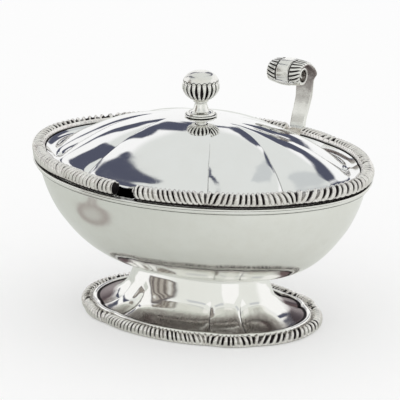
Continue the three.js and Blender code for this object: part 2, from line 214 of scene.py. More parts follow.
def baked(ob):
    """The object's mesh with its modifiers in it."""
    bpy.context.view_layer.update()
    dg = bpy.context.evaluated_depsgraph_get()
    me = bpy.data.meshes.new_from_object(ob.evaluated_get(dg))
    ob.modifiers.clear()
    old = ob.data
    ob.data = me
    bpy.data.meshes.remove(old)
    return me


def bevelled(me, width, segments=3, angle=30):
    """me with its edges rounded."""
    ob = bpy.data.objects.new("work", me)
    bpy.context.scene.collection.objects.link(ob)
    m = ob.modifiers.new("b", "BEVEL")
    m.width, m.segments, m.limit_method = width * MM, segments, "ANGLE"
    m.angle_limit = math.radians(angle)
    m.harden_normals = False
    out = baked(ob)
    bpy.data.objects.remove(ob)
    return out


def cut(me, tool, operation="DIFFERENCE"):
    """me with the solid mesh tool taken away, or joined."""
    a = bpy.data.objects.new("work_a", me)
    b = bpy.data.objects.new("work_b", tool)
    for o in (a, b):
        bpy.context.scene.collection.objects.link(o)
    m = a.modifiers.new("c", "BOOLEAN")
    m.operation, m.object, m.solver = operation, b, "EXACT"
    out = baked(a)
    bpy.data.objects.remove(a)
    bpy.data.objects.remove(b)
    return out


# ------------------------------------------------------------------ materials


def node(nt, kind, **kw):
    n = nt.nodes.new(kind)
    for k, v in kw.items():
        if k.startswith("i_"):
            n.inputs[k[2:].replace("_", " ")].default_value = v
        else:
            setattr(n, k, v)
    return n


def silver(name, tone, rough, spread=0.05, scratches=0.35, wobble=0.0, with_oxide_and_shade=False, tarnish=0.0, tarnish_tone=(0.55, 0.5, 0.42), with_darkening_and_shade=False):
    """Polished silver: cloudy variation, fine crossing scratches, slight waviness of the sheet,
    and near-black where the mesh marks oxide in hollows and painted shade in gaps and creases."""
    m = bpy.data.materials.new(name)
    m.use_nodes = True
    nt = m.node_tree
    nt.nodes.clear()
    L = nt.links.new
    out = node(nt, "ShaderNodeOutputMaterial")
    b = node(nt, "ShaderNodeBsdfPrincipled")
    b.inputs["Metallic"].default_value = 1.0
    L(b.outputs[0], out.inputs[0])
    co = node(nt, "ShaderNodeTexCoord")
    # cloudy polish
    cloud = node(nt, "ShaderNodeTexNoise", i_Scale=38.0, i_Detail=4.0, i_Roughness=0.6)
    L(co.outputs["Object"], cloud.inputs["Vector"])
    # two sets of fine scratches
    lines = []
    for turn, stretch in (((0.4, 0.2, 0.9), (900, 26, 900)), ((1.1, 0.7, -0.5), (30, 1100, 1100))):
        mp = node(nt, "ShaderNodeMapping")
        mp.inputs["Rotation"].default_value = turn
        mp.inputs["Scale"].default_value = stretch
        L(co.outputs["Object"], mp.inputs["Vector"])
        n = node(nt, "ShaderNodeTexNoise", i_Scale=1.0, i_Detail=3.0, i_Roughness=0.65)
        L(mp.outputs[0], n.inputs["Vector"])
        r = node(nt, "ShaderNodeMapRange")
        r.inputs["From Min"].default_value = 0.56
        r.inputs["From Max"].default_value = 0.74
        L(n.outputs["Fac"], r.inputs["Value"])
        lines.append(r)
    both = node(nt, "ShaderNodeMath", operation="MAXIMUM")
    L(lines[0].outputs[0], both.inputs[0])
    L(lines[1].outputs[0], both.inputs[1])
    # roughness: cloud plus scratches
    rr = node(nt, "ShaderNodeMapRange")
    rr.inputs["From Min"].default_value = 0.3
    rr.inputs["From Max"].default_value = 0.7
    rr.inputs["To Min"].default_value = max(rough - spread * 0.5, 0.02)
    rr.inputs["To Max"].default_value = rough + spread
    L(cloud.outputs["Fac"], rr.inputs["Value"])
    ra = node(nt, "ShaderNodeMath", operation="MULTIPLY_ADD")
    ra.inputs[1].default_value = 0.12 * scratches
    L(both.outputs[0], ra.inputs[0])
    L(rr.outputs[0], ra.inputs[2])
    rough_out = ra.outputs[0]
    # colour: silver, a little darker and warmer in clouds
    mix = node(nt, "ShaderNodeMix", data_type="RGBA")
    mix.inputs["A"].default_value = (*tone, 1)
    mix.inputs["B"].default_value = (*[c * k for c, k in zip(tone, (0.93, 0.92, 0.90))], 1)
    L(cloud.outputs["Fac"], mix.inputs["Factor"])
    col = mix.outputs["Result"]
    if tarnish:
        tn = node(nt, "ShaderNodeTexNoise", i_Scale=120.0, i_Detail=5.0, i_Roughness=0.7)
        L(co.outputs["Object"], tn.inputs["Vector"])
        tr = node(nt, "ShaderNodeMapRange")
        tr.inputs["From Min"].default_value = 0.45
        tr.inputs["From Max"].default_value = 0.75
        tr.inputs["To Max"].default_value = tarnish
        L(tn.outputs["Fac"], tr.inputs["Value"])
        mt = node(nt, "ShaderNodeMix", data_type="RGBA")
        mt.inputs["B"].default_value = (*tarnish_tone, 1)
        L(tr.outputs[0], mt.inputs["Factor"])
        L(col, mt.inputs["A"])
        col = mt.outputs["Result"]
    if with_darkening_and_shade:
        # dark brown where the mesh says so, broken up by a fine cloud: painted shade on inner, hidden and back faces,
        # and darkening low on the bowl and in the foot's well
        sa = node(nt, "ShaderNodeAttribute", attribute_name="darkening_and_shade")
        sn = node(nt, "ShaderNodeTexNoise", i_Scale=160.0, i_Detail=4.0, i_Roughness=0.65)
        L(co.outputs["Object"], sn.inputs["Vector"])
        sm = node(nt, "ShaderNodeMath", operation="MULTIPLY_ADD")
        sm.inputs[1].default_value = 0.7
        sm.inputs[2].default_value = -0.35
        L(sn.outputs["Fac"], sm.inputs[0])
        ss = node(nt, "ShaderNodeMath", operation="ADD")
        L(sa.outputs["Fac"], ss.inputs[0])
        L(sm.outputs[0], ss.inputs[1])
        sr = node(nt, "ShaderNodeMapRange")
        sr.inputs["From Min"].default_value = 0.15
        sr.inputs["From Max"].default_value = 1.0
        L(ss.outputs[0], sr.inputs["Value"])
        ms = node(nt, "ShaderNodeMix", data_type="RGBA")
        ms.inputs["B"].default_value = (0.17, 0.12, 0.122, 1)
        L(sr.outputs[0], ms.inputs["Factor"])
        L(col, ms.inputs["A"])
        col = ms.outputs["Result"]
        sq = node(nt, "ShaderNodeMath", operation="MULTIPLY_ADD")
        sq.inputs[1].default_value = 0.22
        L(sr.outputs[0], sq.inputs[0])
        L(rough_out, sq.inputs[2])
        rough_out = sq.outputs[0]
    if with_oxide_and_shade:
        # near-black from the mesh's mark: oxide in hollows, and painted shade in gaps, under the rings and in creases
        at = node(nt, "ShaderNodeAttribute", attribute_name="oxide_and_shade")
        on = node(nt, "ShaderNodeTexNoise", i_Scale=900.0, i_Detail=3.0)
        L(co.outputs["Object"], on.inputs["Vector"])
        om = node(nt, "ShaderNodeMath", operation="MULTIPLY_ADD")
        om.inputs[1].default_value = 0.3
        om.inputs[2].default_value = -0.15
        L(on.outputs["Fac"], om.inputs[0])
        oa = node(nt, "ShaderNodeMath", operation="ADD")
        L(at.outputs["Fac"], oa.inputs[0])
        L(om.outputs[0], oa.inputs[1])
        orr = node(nt, "ShaderNodeMapRange")
        orr.inputs["From Min"].default_value = 0.22
        orr.inputs["From Max"].default_value = 0.68
        L(oa.outputs[0], orr.inputs["Value"])
        mo = node(nt, "ShaderNodeMix", data_type="RGBA")
        mo.inputs["B"].default_value = (0.025, 0.020, 0.022, 1)
        L(orr.outputs[0], mo.inputs["Factor"])
        L(col, mo.inputs["A"])
        col = mo.outputs["Result"]
        ro = node(nt, "ShaderNodeMath", operation="MULTIPLY_ADD")
        ro.inputs[1].default_value = 0.35
        L(orr.outputs[0], ro.inputs[0])
        L(rough_out, ro.inputs[2])
        rough_out = ro.outputs[0]
    L(col, b.inputs["Base Color"])
    L(rough_out, b.inputs["Roughness"])
    # bump: scratches, and the long waves that planishing leaves
    bs = node(nt, "ShaderNodeBump")
    bs.inputs["Strength"].default_value = 0.12 * scratches
    bs.inputs["Distance"].default_value = 0.00004
    L(both.outputs[0], bs.inputs["Height"])
    last = bs
    if wobble:
        wn = node(nt, "ShaderNodeTexNoise", i_Scale=30.0, i_Detail=1.5, i_Roughness=0.4)
        L(co.outputs["Object"], wn.inputs["Vector"])
        bw = node(nt, "ShaderNodeBump")
        bw.inputs["Strength"].default_value = 1.0
        bw.inputs["Distance"].default_value = wobble * MM
        L(wn.outputs["Fac"], bw.inputs["Height"])
        L(bs.outputs[0], bw.inputs["Normal"])
        last = bw
    L(last.outputs[0], b.inputs["Normal"])
    return m


MAT_BODY = silver("silver_body", (0.90, 0.905, 0.88), 0.10, 0.05, 0.5, wobble=0.10, with_oxide_and_shade=True, tarnish=0.10, with_darkening_and_shade=True)
MAT_LID = silver("silver_lid", (0.94, 0.945, 0.95), 0.04, 0.035, 0.5, wobble=0.05, with_oxide_and_shade=True)
MAT_FOOT = silver("silver_foot", (0.95, 0.95, 0.93), 0.06, 0.04, 0.5, wobble=0.08, with_oxide_and_shade=True, with_darkening_and_shade=True)
MAT_CHASED = silver("silver_chased", (0.90, 0.885, 0.865), 0.13, 0.09, 0.4, with_oxide_and_shade=True, tarnish=0.45, tarnish_tone=(0.50, 0.43, 0.42))
MAT_SMALL = silver("silver_small", (0.92, 0.92, 0.895), 0.09, 0.06, 0.4, with_oxide_and_shade=True, tarnish=0.12, with_darkening_and_shade=True)
MAT_CAP = silver("silver_cap", (0.90, 0.90, 0.875), 0.17, 0.08, 0.5, with_oxide_and_shade=True, tarnish=0.2)
MAT_STRAP = silver("silver_strap", (0.95, 0.95, 0.925), 0.14, 0.08, 0.6, wobble=0.12, with_oxide_and_shade=True, tarnish=0.16, tarnish_tone=(0.42, 0.36, 0.33), with_darkening_and_shade=True)
MAT_HINGE = silver("silver_hinge", (0.74, 0.70, 0.65), 0.22, 0.12, 0.5, tarnish=0.55)
MAT_FIXING = silver("silver_fixing", (0.62, 0.60, 0.56), 0.34, 0.12, 0.5, tarnish=0.6)

# ------------------------------------------------------------------ bowl

lid_st = stations(LID, 84, 48, crowd=0.45)
foot_st = stations(FOOT, 72, 40, crowd=0.45)

bowl_outer = [
    (0.01, 0.01, 35.5), (42, 26.5, 35.5), (54, 34.4, 35.9), (62, 40.0, 36.8), (70, 46.0, 39.0),
    (79.5, 54.2, 44.0), (87.2, 61.6, 50.0), (93.0, 67.4, 56.0), (98.2, 72.6, 62.5),
    (102.9, 77.1, 69.0), (107.2, 81.0, 77.0), (110.6, 83.7, 85.0), (113.0, 85.6, 93.0),
    (113.9, 86.3, 100.0),
]
out_p = smooth(bowl_outer, 90)
nrm = np.gradient(out_p[:, [0, 2]], axis=0)
nrm /= np.linalg.norm(nrm, axis=1)[:, None]
in_p = out_p.copy()
in_p[:, 0] -= 1.3 * nrm[:, 1]
in_p[:, 1] -= 1.3 * nrm[:, 1]
in_p[:, 2] += 1.3 * nrm[:, 0]
in_p[:, :2] = np.maximum(in_p[:, :2], 0.01)
in_p = in_p[in_p[:, 2] < 100.0]
prof = [tuple(r) for r in out_p] + [(113.75, 86.15, 100.25), (113.6, 86.0, 100.3), (112.85, 85.25, 100.3), (112.65, 85.05, 100.2)] + [tuple(r) for r in in_p[::-1]]
g = oval_grid(LID, prof, lid_st)
outside = (np.arange(len(prof)) < 94)[:, None]
# dark brown low on the outside, towards the neck, and a little on the inside
darkening_and_shade = np.where(outside, 0.68 * (1 - step(37.0, 41.5, g[..., 2])), 0.12)
# painted shade: the top of the outside, under the lid's gap, is darkened
oxide_and_shade = np.where(outside & (g[..., 2] > 99.6), 0.34, 0.0)
piece("vis_bowl_body", mesh_of("bowl_body_mesh", g.reshape(-1, 3), grid_faces(g.shape[0], g.shape[1], False),
                               {"darkening_and_shade": darkening_and_shade, "oxide_and_shade": oxide_and_shade}),
      "bowl", ["bowl_body"], MAT_BODY, 40)

# the fourth column is darkness: painted shade under the moulding and on its top, where the lid's gap is, and dark
# lines in its two grooves
rim = [  # half length, half width, z, darkness
    (114.05, 86.45, 96.4, 1.0), (114.2, 86.6, 96.05, 1.0), (114.55, 86.95, 95.85, 0.8), (115.2, 87.6, 95.8, 0.0), (115.7, 88.05, 95.95, 0.0),
    (115.95, 88.3, 96.25, 0.0), (116.0, 88.35, 96.45, 0.5), (115.95, 88.3, 96.6, 0.9), (116.05, 88.4, 96.75, 0.4), (116.4, 88.7, 96.9, 0.0),
    (116.75, 89.0, 97.25, 0.0), (116.95, 89.2, 97.7, 0.0), (117.05, 89.25, 98.2, 0.0), (117.0, 89.2, 98.65, 0.2), (116.9, 89.1, 98.8, 0.75),
    (116.95, 89.15, 98.95, 0.6), (117.4, 89.5, 99.05, 0.0), (117.9, 89.85, 99.2, 0.0), (118.2, 90.05, 99.5, 0.0), (118.3, 90.1, 99.8, 0.0),
    (118.15, 90.0, 100.1, 0.0), (117.8, 89.75, 100.25, 0.1), (117.3, 89.3, 100.3, 0.6), (116.9, 89.0, 100.3, 0.7), (116.2, 88.4, 100.3, 0.42), (114.3, 86.7, 100.3, 0.34),
    (114.05, 86.45, 100.1, 0.5),
]
g = oval_grid(LID, [r[:3] for r in rim], lid_st)
oxide_and_shade = np.repeat(np.array([[r[3]] for r in rim]), g.shape[1], 1)
piece("vis_bowl_rim", mesh_of("bowl_rim_mesh", g.reshape(-1, 3), grid_faces(g.shape[0], g.shape[1], True), {"oxide_and_shade": oxide_and_shade}),
      "bowl", ["bowl_rim_moulding"], MAT_BODY, 50)

# ------------------------------------------------------------------ foot

foot_outer = [
    (48.6, 28.2, 35.5, 0, 0), (47.8, 27.4, 34.4, 0, 0), (47.7, 27.3, 32.6, 0, 0), (48.2, 27.8, 29.6, 0, 0), (49.3, 28.9, 26.0, 0, 0), (50.6, 30.1, 22.5, 0.3, 0),
    (52.2, 31.6, 18.5, 0.9, 0), (55.0, 34.2, 14.8, 1.6, 0), (58.7, 37.5, 11.3, 2.2, 0), (63.0, 41.3, 8.7, 2.6, 0),
    (67.8, 45.7, 7.0, 2.6, 0.3), (71.5, 49.0, 5.9, 2.4, 0.3), (73.0, 50.5, 5.6, 2.1, 0.2),
]
foot_lip = [(73.8, 51.2, 6.4, 2.0, 0), (74.8, 52.1, 6.9, 1.9, 0), (75.8, 53.0, 6.6, 1.8, 0), (76.6, 53.8, 5.6, 1.8, 0), (76.6, 53.8, 4.4, 1.8, 0), (74.6, 52.0, 4.2, 1.9, 0)]
fo = smooth(foot_outer, 70)
fn = np.gradient(fo[:, [0, 2]], axis=0)
fn /= np.linalg.norm(fn, axis=1)[:, None]
fi = fo.copy()
fi[:, 0] += 1.2 * fn[:, 1]
fi[:, 1] += 1.2 * fn[:, 1]
fi[:, 2] -= 1.2 * fn[:, 0]
fi[0, 2] = fo[0, 2]
prof = [tuple(r) for r in fo] + foot_lip + [tuple(r) for r in fi[::-1]]


def foot_pinch(p):
    """Depth and width of the fork in the foot's creases, fading out in the neck."""
    skin = (p[:, 0] < 73.5) & (p[:, 2] > 3)
    return np.where(skin, 1.3 * (1 - step(15.0, 25.0, p[:, 2])), 0.0), 3.0


g = creased_grid(FOOT, prof, foot_st, foot_pinch, 2.0)
out_rows = (np.arange(len(prof)) < 70)[:, None]
z_row = np.array([r[2] for r in prof])[:, None] + 0 * g[..., 2]
A_row = np.array([r[0] for r in prof])[:, None] + 0 * g[..., 2]
# darker brown low in the foot's well on its wide part; painted shade on the lip under the gadroon and on the inner
# face
darkening_and_shade = np.where(out_rows, (1 - step(6.0, 9.5, z_row)) * 0.56 * (A_row > 58), 0.0)
darkening_and_shade = np.where((A_row > 73.4) & (np.arange(len(prof)) < 76)[:, None], 0.15, darkening_and_shade)
darkening_and_shade = np.where(np.arange(len(prof))[:, None] >= 76, 0.55, darkening_and_shade)
# painted shade: the far side of the foot is darkened low down, most on its wide lower part
back_shade = step(-10, 12, g[..., 1])
back_shade = np.maximum(back_shade, step(-4, 18, g[..., 1] * math.cos(0.58) - g[..., 0] * math.sin(0.58)))
# the painted shade is lighter in the middle of the back
back_shade = back_shade * (0.22 + 0.78 * step(24, 46, np.abs(g[..., 0])))
darkening_and_shade = np.clip(darkening_and_shade + np.where(out_rows, back_shade * 1.2 * (1 - step(10.0, 18.0, z_row)) * (0.25 + 0.75 * step(58, 66, A_row)), 0.0), 0, 1.15)
oxide_and_shade = np.where(out_rows & (A_row > 71.6), 1.0, 0.0)
# painted shade: a thin dark line in the bottom of each crease, low on the foot
q_ = foot_st[2]
to_crease = np.minimum(q_, 1 - q_)[None, :] * np.where(foot_st[3] % 2 == 1, 75.0, 34.0)[None, :]
oxide_and_shade = np.maximum(oxide_and_shade, np.where(out_rows, 0.75 * np.exp(-((to_crease / 0.55) ** 2)) * (1 - step(15.0, 21.0, z_row)), 0.0))
piece("vis_foot_pedestal", mesh_of("foot_pedestal_mesh", g.reshape(-1, 3), grid_faces(g.shape[0], g.shape[1], True),
                                   {"darkening_and_shade": darkening_and_shade, "oxide_and_shade": oxide_and_shade}),
      "bowl", ["foot_pedestal"], MAT_FOOT, 50)

# ------------------------------------------------------------------ gadroon borders


def gadroon(o, A0, B0, cusp, section, pitch, depth, lean, samples, rows, span, widths, seed):
    """A closed border with slanted ribs. section(angle) gives the outward and upward offset of the
    plain wire at each angle, 0 outward and 90 upward. The ribs start at the panels' ends and their
    inner ends lean towards the panel's middle. widths are angles and the ribs' share of the pitch
    there. Returns the grid and the groove mark."""
    lo, hi = span
    rng = np.random.default_rng(seed)
    phi = np.concatenate([np.linspace(lo, hi, rows), np.linspace(hi, lo + 360, 9)[1:-1]])
    dr, dz = section(phi)
    mid = 20.0
    back = phi > hi
    # slant: place along the rib from its outer to its inner end
    w = np.where(back, np.interp(phi, [hi, lo + 360], [(hi - mid) / 160, (lo - mid) / 160]), (phi - mid) / 160)
    width = np.interp(phi, *widths)
    swell = np.where(back, 0, step(lo - 6, lo + 14, phi) * (1 - step(hi - 5, hi + 2, phi)))
    cols_t, cols_h, cols_b, cols_g = [], [], [], []
    for f, to in panel_ends(o):
        wide = to - f > 40
        dense = np.linspace(-0.3, 1.3, 1200)
        td = np.radians(f + (to - f) * dense)
        x, y = A0 * spow(np.cos(td), o["e"]), B0 * spow(np.sin(td), o["e"])
        s = np.concatenate([[0], np.cumsum(np.hypot(np.diff(x), np.diff(y)))])
        s -= np.interp(0, dense, s)
        length = np.interp(1, dense, s)
        # the ribs are coarser towards the ends of the oval
        n = int(round(length / (pitch * (1 + 0.36 * math.cos(math.radians((f + to) / 2)) ** 4))))
        # the ribs' edges, a little uneven
        edges = np.arange(n + 1) + np.concatenate([[0], rng.uniform(-0.13, 0.13, n - 1), [0]])
        deep = rng.uniform(0.8, 1.1, n)
        dark = rng.uniform(0.42, 1.0, n + 1)
        k = np.arange(n * samples)
        p = (k % samples) / samples
        rib = k // samples
        ph = edges[rib] + (edges[rib + 1] - edges[rib]) * p
        u0 = ph / n
        env = np.minimum(1, np.minimum(ph, n - ph) / 1.5)
        kap = lean * (1 - 2 * u0) * env
        place = (ph[None, :] + kap[None, :] * w[:, None]) / n * length
        q = np.interp(place, s, dense)
        cols_t.append(np.radians(f + (to - f) * q))
        qq = np.clip(q, 0, 1)
        cols_h.append((1 if wide else 0.8) * 4 * qq * (1 - qq))
        far_end = math.cos(math.radians((f + to) / 2)) ** 4
        a = np.abs(2 * p[None, :] - 1) / (width[:, None] * (1 - 0.24 * far_end))
        b = np.sqrt(np.maximum(0, 1 - np.minimum(a, 1) ** 2))
        # the floor of the crevice is flat, and the panel's end is a fork that cuts deeper
        fork = np.exp(-(np.minimum(ph, n - ph) / 0.55) ** 2)[None, :]
        cols_b.append(1 - (1 - b) * deep[rib][None, :] * (1 + 0.25 * fork))
        cols_g.append(np.clip((1 - b) * 1.5 - 0.2, 0, 1) * dark[rib + (p > 0.5)][None, :] * np.ones_like(q))
    t, h, b, gr = (np.concatenate(v, 1) for v in (cols_t, cols_h, cols_b, cols_g))
    env = swell[:, None]
    k = 1 - depth * env * (1 - b)
    A = A0 + dr[:, None] * k
    B = B0 + dr[:, None] * k
    z = section.z + dz[:, None] * k
    pts = oval_points(o, A, B, z, cusp, 0.0, t, h)
    return pts, np.clip(gr * env, 0, 1)


class Wire:
    def __init__(self, z, rx, top, bottom, lower=2.0):
        self.z, self.rx, self.top, self.bottom, self.lower = z, rx, top, bottom, lower

    def __call__(self, phi):
        a = np.radians(phi)
        c, s = np.cos(a), np.sin(a)
        up = s > 0
        e = np.where(up, 1.0, 2 / self.lower)
        return self.rx * spow(c, e), np.where(up, self.top, self.bottom) * spow(s, e)


def ring_mesh(name, pts, oxide_and_shade):
    n, m = pts.shape[:2]
    return mesh_of(name, pts.reshape(-1, 3), grid_faces(n, m, True), {"oxide_and_shade": oxide_and_shade})


lid_wire = Wire(106.1, 4.4, 4.4, 4.8, 2.3)
RIBS = ([-50, 0, 30, 60, 80, 98, 120, 142], [0.88, 0.85, 0.82, 0.76, 0.7, 0.62, 0.52, 0.3])
pts, oxide_and_shade = gadroon(LID, 115.0, 86.3, 1.3, lid_wire, 3.3, 0.42, 1.7, 12, 32, (-50, 142), RIBS, 3)
# painted shade: a dark line on the ring's inner underside lies between the ring and the sheet all along
phi_rows = np.concatenate([np.linspace(-50, 142, 32), np.linspace(142, 310, 9)[1:-1]])
oxide_and_shade = np.maximum(oxide_and_shade, (step(168, 186, phi_rows) * (1 - step(215, 240, phi_rows)))[:, None])

# the ribs' wire is cut for the spoon notch and the hinge
NOTCH = 7.0
GAP_L, GAP_R = 12.1, 26.5


def nose(pts, side):
    """Rounds the right-hand length's front end."""
    c = pts.mean(0)
    out = pts.copy()
    d = c[:, 0] - 7.1
    near = (c[:, 1] < 0) & (d < 3.4) & (d > -3)
    k = np.sqrt(np.clip(1 - ((3.4 - np.clip(d, 0.0, 3.4)) / 3.4) ** 2, 0.12, 1))
    k = np.where(near, k, 1)
    return c[None] + (out - c[None]) * k[None, :, None]


def half_ring(name, pts, oxide_and_shade, left):
    me = ring_mesh(name, pts, oxide_and_shade)
    bm = bmesh.new()
    bm.from_mesh(me)
    sgn = 1 if left else -1
    for front in (True, False):
        x = (-7.1 if left else 7.1) if front else (GAP_L if left else GAP_R)
        part = [e for e in list(bm.verts) + list(bm.edges) + list(bm.faces)
                if all((v.co.y < 0) == front for v in ([e] if isinstance(e, bmesh.types.BMVert) else e.verts))]
        r = bmesh.ops.bisect_plane(bm, geom=part, dist=1e-9, plane_co=(x * MM, 0, 0), plane_no=(sgn, 0, 0), clear_outer=True)
        rim_edges = [e for e in r["geom_cut"] if isinstance(e, bmesh.types.BMEdge)]
        filled = bmesh.ops.edgeloop_fill(bm, edges=rim_edges)
        lay = bm.verts.layers.float.get("oxide_and_shade")
        inner = bmesh.ops.inset_region(bm, faces=filled["faces"], thickness=0.0006, depth=0.0 if front and left else 0.0003)
        for v in {v for f in filled["faces"] for v in f.verts}:
            v[lay] = 0.9 if (front and left) else 0.0
    # what is left beyond the middle belongs to the other length
    bmesh.ops.recalc_face_normals(bm, faces=bm.faces)
    bm.to_mesh(me)
    bm.free()
    return me


piece("vis_lid_gadroon_left", half_ring("gadroon_left_mesh", pts, oxide_and_shade, True),
      "lid", ["lid_gadroon_left"], MAT_CHASED, 60)
piece("vis_lid_gadroon_right", half_ring("gadroon_right_mesh", nose(pts, 1), oxide_and_shade, False),
      "lid", ["lid_gadroon_right"], MAT_CHASED, 60)

foot_wire = Wire(3.7, 3.6, 3.8, 3.7, 3.4)
FOOT_RIBS = ([-38, 0, 30, 60, 85, 108, 142], [0.8, 0.77, 0.74, 0.68, 0.6, 0.5, 0.3])
fp, fg = gadroon(FOOT, 80.1, 57.4, 1.8, foot_wire, 3.0, 0.42, 1.6, 12, 30, (-38, 142), FOOT_RIBS, 5)
fp[..., 2] = np.maximum(fp[..., 2], 0.0)
piece("vis_foot_gadroon", ring_mesh("foot_gadroon_mesh", fp, fg),
      "bowl", ["foot_gadroon_border"], MAT_CHASED, 60)

# ------------------------------------------------------------------ lid sheet

TOPZ = 133.75
lid_top = [
    (2.35, 2.35, TOPZ, 0, 0), (12.5, 11.5, TOPZ - 0.25, 0, 0), (25.0, 18.6, 132.6, 0, 0.1),
    (37.0, 27.0, 130.8, 0, 0.5), (48.0, 34.9, 128.5, 0, 1.15), (60.0, 43.6, 125.2, 0, 1.9),
    (71.0, 51.6, 121.1, 0.1, 2.6), (81.0, 58.8, 116.5, 0.4, 3.1), (90.0, 65.3, 111.9, 1.0, 3.3),
    (97.5, 70.7, 107.5, 1.8, 2.8), (102.0, 74.0, 104.6, 2.2, 1.7), (104.3, 75.7, 103.4, 2.2, 0.8),
]
lid_cove = [
    (104.9, 76.3, 103.3, 2.1, 0.5), (106.2, 77.5, 103.5, 1.8, 0.2), (107.6, 78.9, 104.1, 1.5, 0),
    (109.0, 80.3, 105.0, 1.4, 0), (109.9, 81.2, 105.65, 1.3, 0), (110.2, 81.5, 105.5, 1.3, 0),
    (110.3, 81.6, 105.0, 1.3, 0),
]
lid_flange = [
    (110.3, 81.6, 101.4, 1.3, 0), (116.3, 87.6, 101.4, 1.3, 0), (116.4, 87.7, 101.3, 1.3, 0),
    (116.4, 87.7, 100.8, 1.3, 0), (116.3, 87.6, 100.7, 1.3, 0), (109.8, 81.1, 100.7, 1.3, 0),
    (108.2, 79.5, 100.8, 1.4, 0), (106.6, 77.9, 101.3, 1.7, 0.1), (104.8, 76.2, 101.9, 2.1, 0.4),
]
top = smooth(lid_top, 80)
under = top.copy()
un = np.gradient(top[:, [0, 2]], axis=0)
un /= np.linalg.norm(un, axis=1)[:, None]
under[:, 0] += 1.15 * un[:, 1]
under[:, 1] += 1.15 * un[:, 1]
under[:, 2] -= 1.15 * un[:, 0]
under[0, :2] = top[0, :2]
under[1, :2] = np.maximum(under[1, :2], top[0, :2])
under = under[:-1]
prof = [tuple(r) for r in top] + lid_cove + lid_flange + [tuple(r) for r in under[::-1]]


def lid_pinch(p):
    """Depth and width of the fork in the lid's creases: it opens near the rim."""
    skin = (p[:, 0] < 105.0) & (p[:, 2] > 103.0)
    return np.where(skin, np.interp(p[:, 0], [20, 40, 84, 92, 101, 105], [0, 0.1, 0.12, 0.4, 1.35, 0.5]), 0.0), np.interp(
        p[:, 0], [60, 90], [1.6, 3.0])[:, None]


g = creased_grid(LID, prof, lid_st, lid_pinch, 2.05)
n_top = len(top) + len(lid_cove)
# painted shade: the last rows of the cove and the flange, under the gadroon ring, are darkened
shade_under_ring_rows = np.array([i >= n_top - 2 and i < n_top + 5 for i in range(len(prof))])
# painted shade: a thin dark line in the bottom of each crease, stronger towards the rim
q_ = np.minimum(lid_st[2], 1 - lid_st[2])
ends_ = np.flatnonzero(q_ < 1e-6)
cols_ = np.arange(g.shape[1])
gap_ = np.abs(cols_[:, None] - ends_[None, :])
near_ = ends_[np.minimum(gap_, g.shape[1] - gap_).argmin(1)]
to_crease = np.linalg.norm(g - g[:, near_], axis=2)
A_lid = np.array([r[0] for r in prof])
crease_shade = np.where(np.arange(len(prof)) < len(top), np.interp(A_lid, [30, 55, 92, 103], [0, 0.36, 0.55, 0.7]), 0.0)[:, None]
oxide_and_shade = np.maximum(crease_shade * np.exp(-((to_crease / 0.5) ** 2)), shade_under_ring_rows[:, None] * 0.7)
sheet = mesh_of("lid_sheet_mesh", g.reshape(-1, 3), grid_faces(g.shape[0], g.shape[1], True), {"oxide_and_shade": oxide_and_shade})


def prism(name, outline, z0, z1):
    n = len(outline)
    v = [(x, y + SHIFT_Y, z) for z in (z0, z1) for x, y in outline]
    f = [list(range(n))[::-1], list(range(n, 2 * n))]
    f += [[i, (i + 1) % n, n + (i + 1) % n, n + i] for i in range(n)]
    return mesh_of(name, v, f)


def notch_outline(w, inner_shade):
    return [(-w, -110), (w, -110)] + [
        (w * math.cos(math.pi * i / 24), inner_shade - w + w * math.sin(math.pi * i / 24)) for i in range(25)
    ]


sheet = cut(sheet, prism("notch_tool", notch_outline(7.0, -74.6), 90, 116))
piece("vis_lid_sheet", sheet, "lid", ["lid_dome"], MAT_LID, 50)

bezel = [(109.9, 82.3, 94.4), (110.1, 82.5, 94.2), (110.7, 83.1, 94.2), (110.9, 83.3, 94.4), (110.9, 83.3, 100.5), (109.9, 82.3, 100.5)]
g = oval_grid(LID, bezel, lid_st)
bz = mesh_of("bezel_mesh", g.reshape(-1, 3), grid_faces(g.shape[0], g.shape[1], True))
bz = cut(bz, prism("notch_tool", notch_outline(7.0, -74.6), 90, 116))
piece("vis_lid_bezel", bz, "lid", ["lid_bezel"], MAT_BODY, 50)

# ------------------------------------------------------------------ turned pieces


def turned(profile, n, ripple=None):
    """Grid of a round body about the Z axis at the finial; ripple(radius, z, angle) gives radius and groove."""
    p = np.array(profile, float)
    a = np.arange(n) / n * 2 * math.pi
    r = np.repeat(p[:, 0:1], n, 1)
    z = np.repeat(p[:, 1:2], n, 1)
    oxide_and_shade = np.zeros_like(r)
    if ripple:
        r, oxide_and_shade = ripple(r, z, a[None, :])
    pts = np.stack([r * np.cos(a), r * np.sin(a) + SHIFT_Y, z], -1)
    return pts, oxide_and_shade


def turned_piece(name, profile, n, nodes, mat, ripple=None, closed=False, sharp=35):
    pts, oxide_and_shade = turned(profile, n, ripple)
    me = mesh_of(name + "_mesh", pts.reshape(-1, 3), grid_faces(pts.shape[0], n, closed), {"oxide_and_shade": oxide_and_shade})
    return piece("vis_" + name, me, "lid", nodes, mat, sharp)


def arc(cx, cz, r, a0, a1, n=8):
    return [(cx + r * math.cos(math.radians(a)), cz + r * math.sin(math.radians(a))) for a in np.linspace(a0, a1, n)]


# two-tier plate, its upper tier rounded, a fine line between the tiers
plate_p = (
    [(2.35, 134.0), (9.9, 134.0)] + arc(10.2, 134.45, 0.42, -90, 90, 7)
    + [(9.75, 134.95), (9.55, 135.05), (9.3, 135.35)] + arc(8.75, 135.75, 0.45, 0, 90, 5)
    + [(8.2, 136.2), (7.7, 136.05), (6.9, 136.15), (6.2, 136.6), (5.8, 136.85), (2.35, 136.85)]
)


def plate_marks(r, z, a):
    return r, np.clip(step(0.35, 0.05, np.abs(r - 9.6)) * 0.9 + step(0.4, 0.1, np.abs(r - 7.7)) * 0.6, 0, 1) * (z > 134.6)


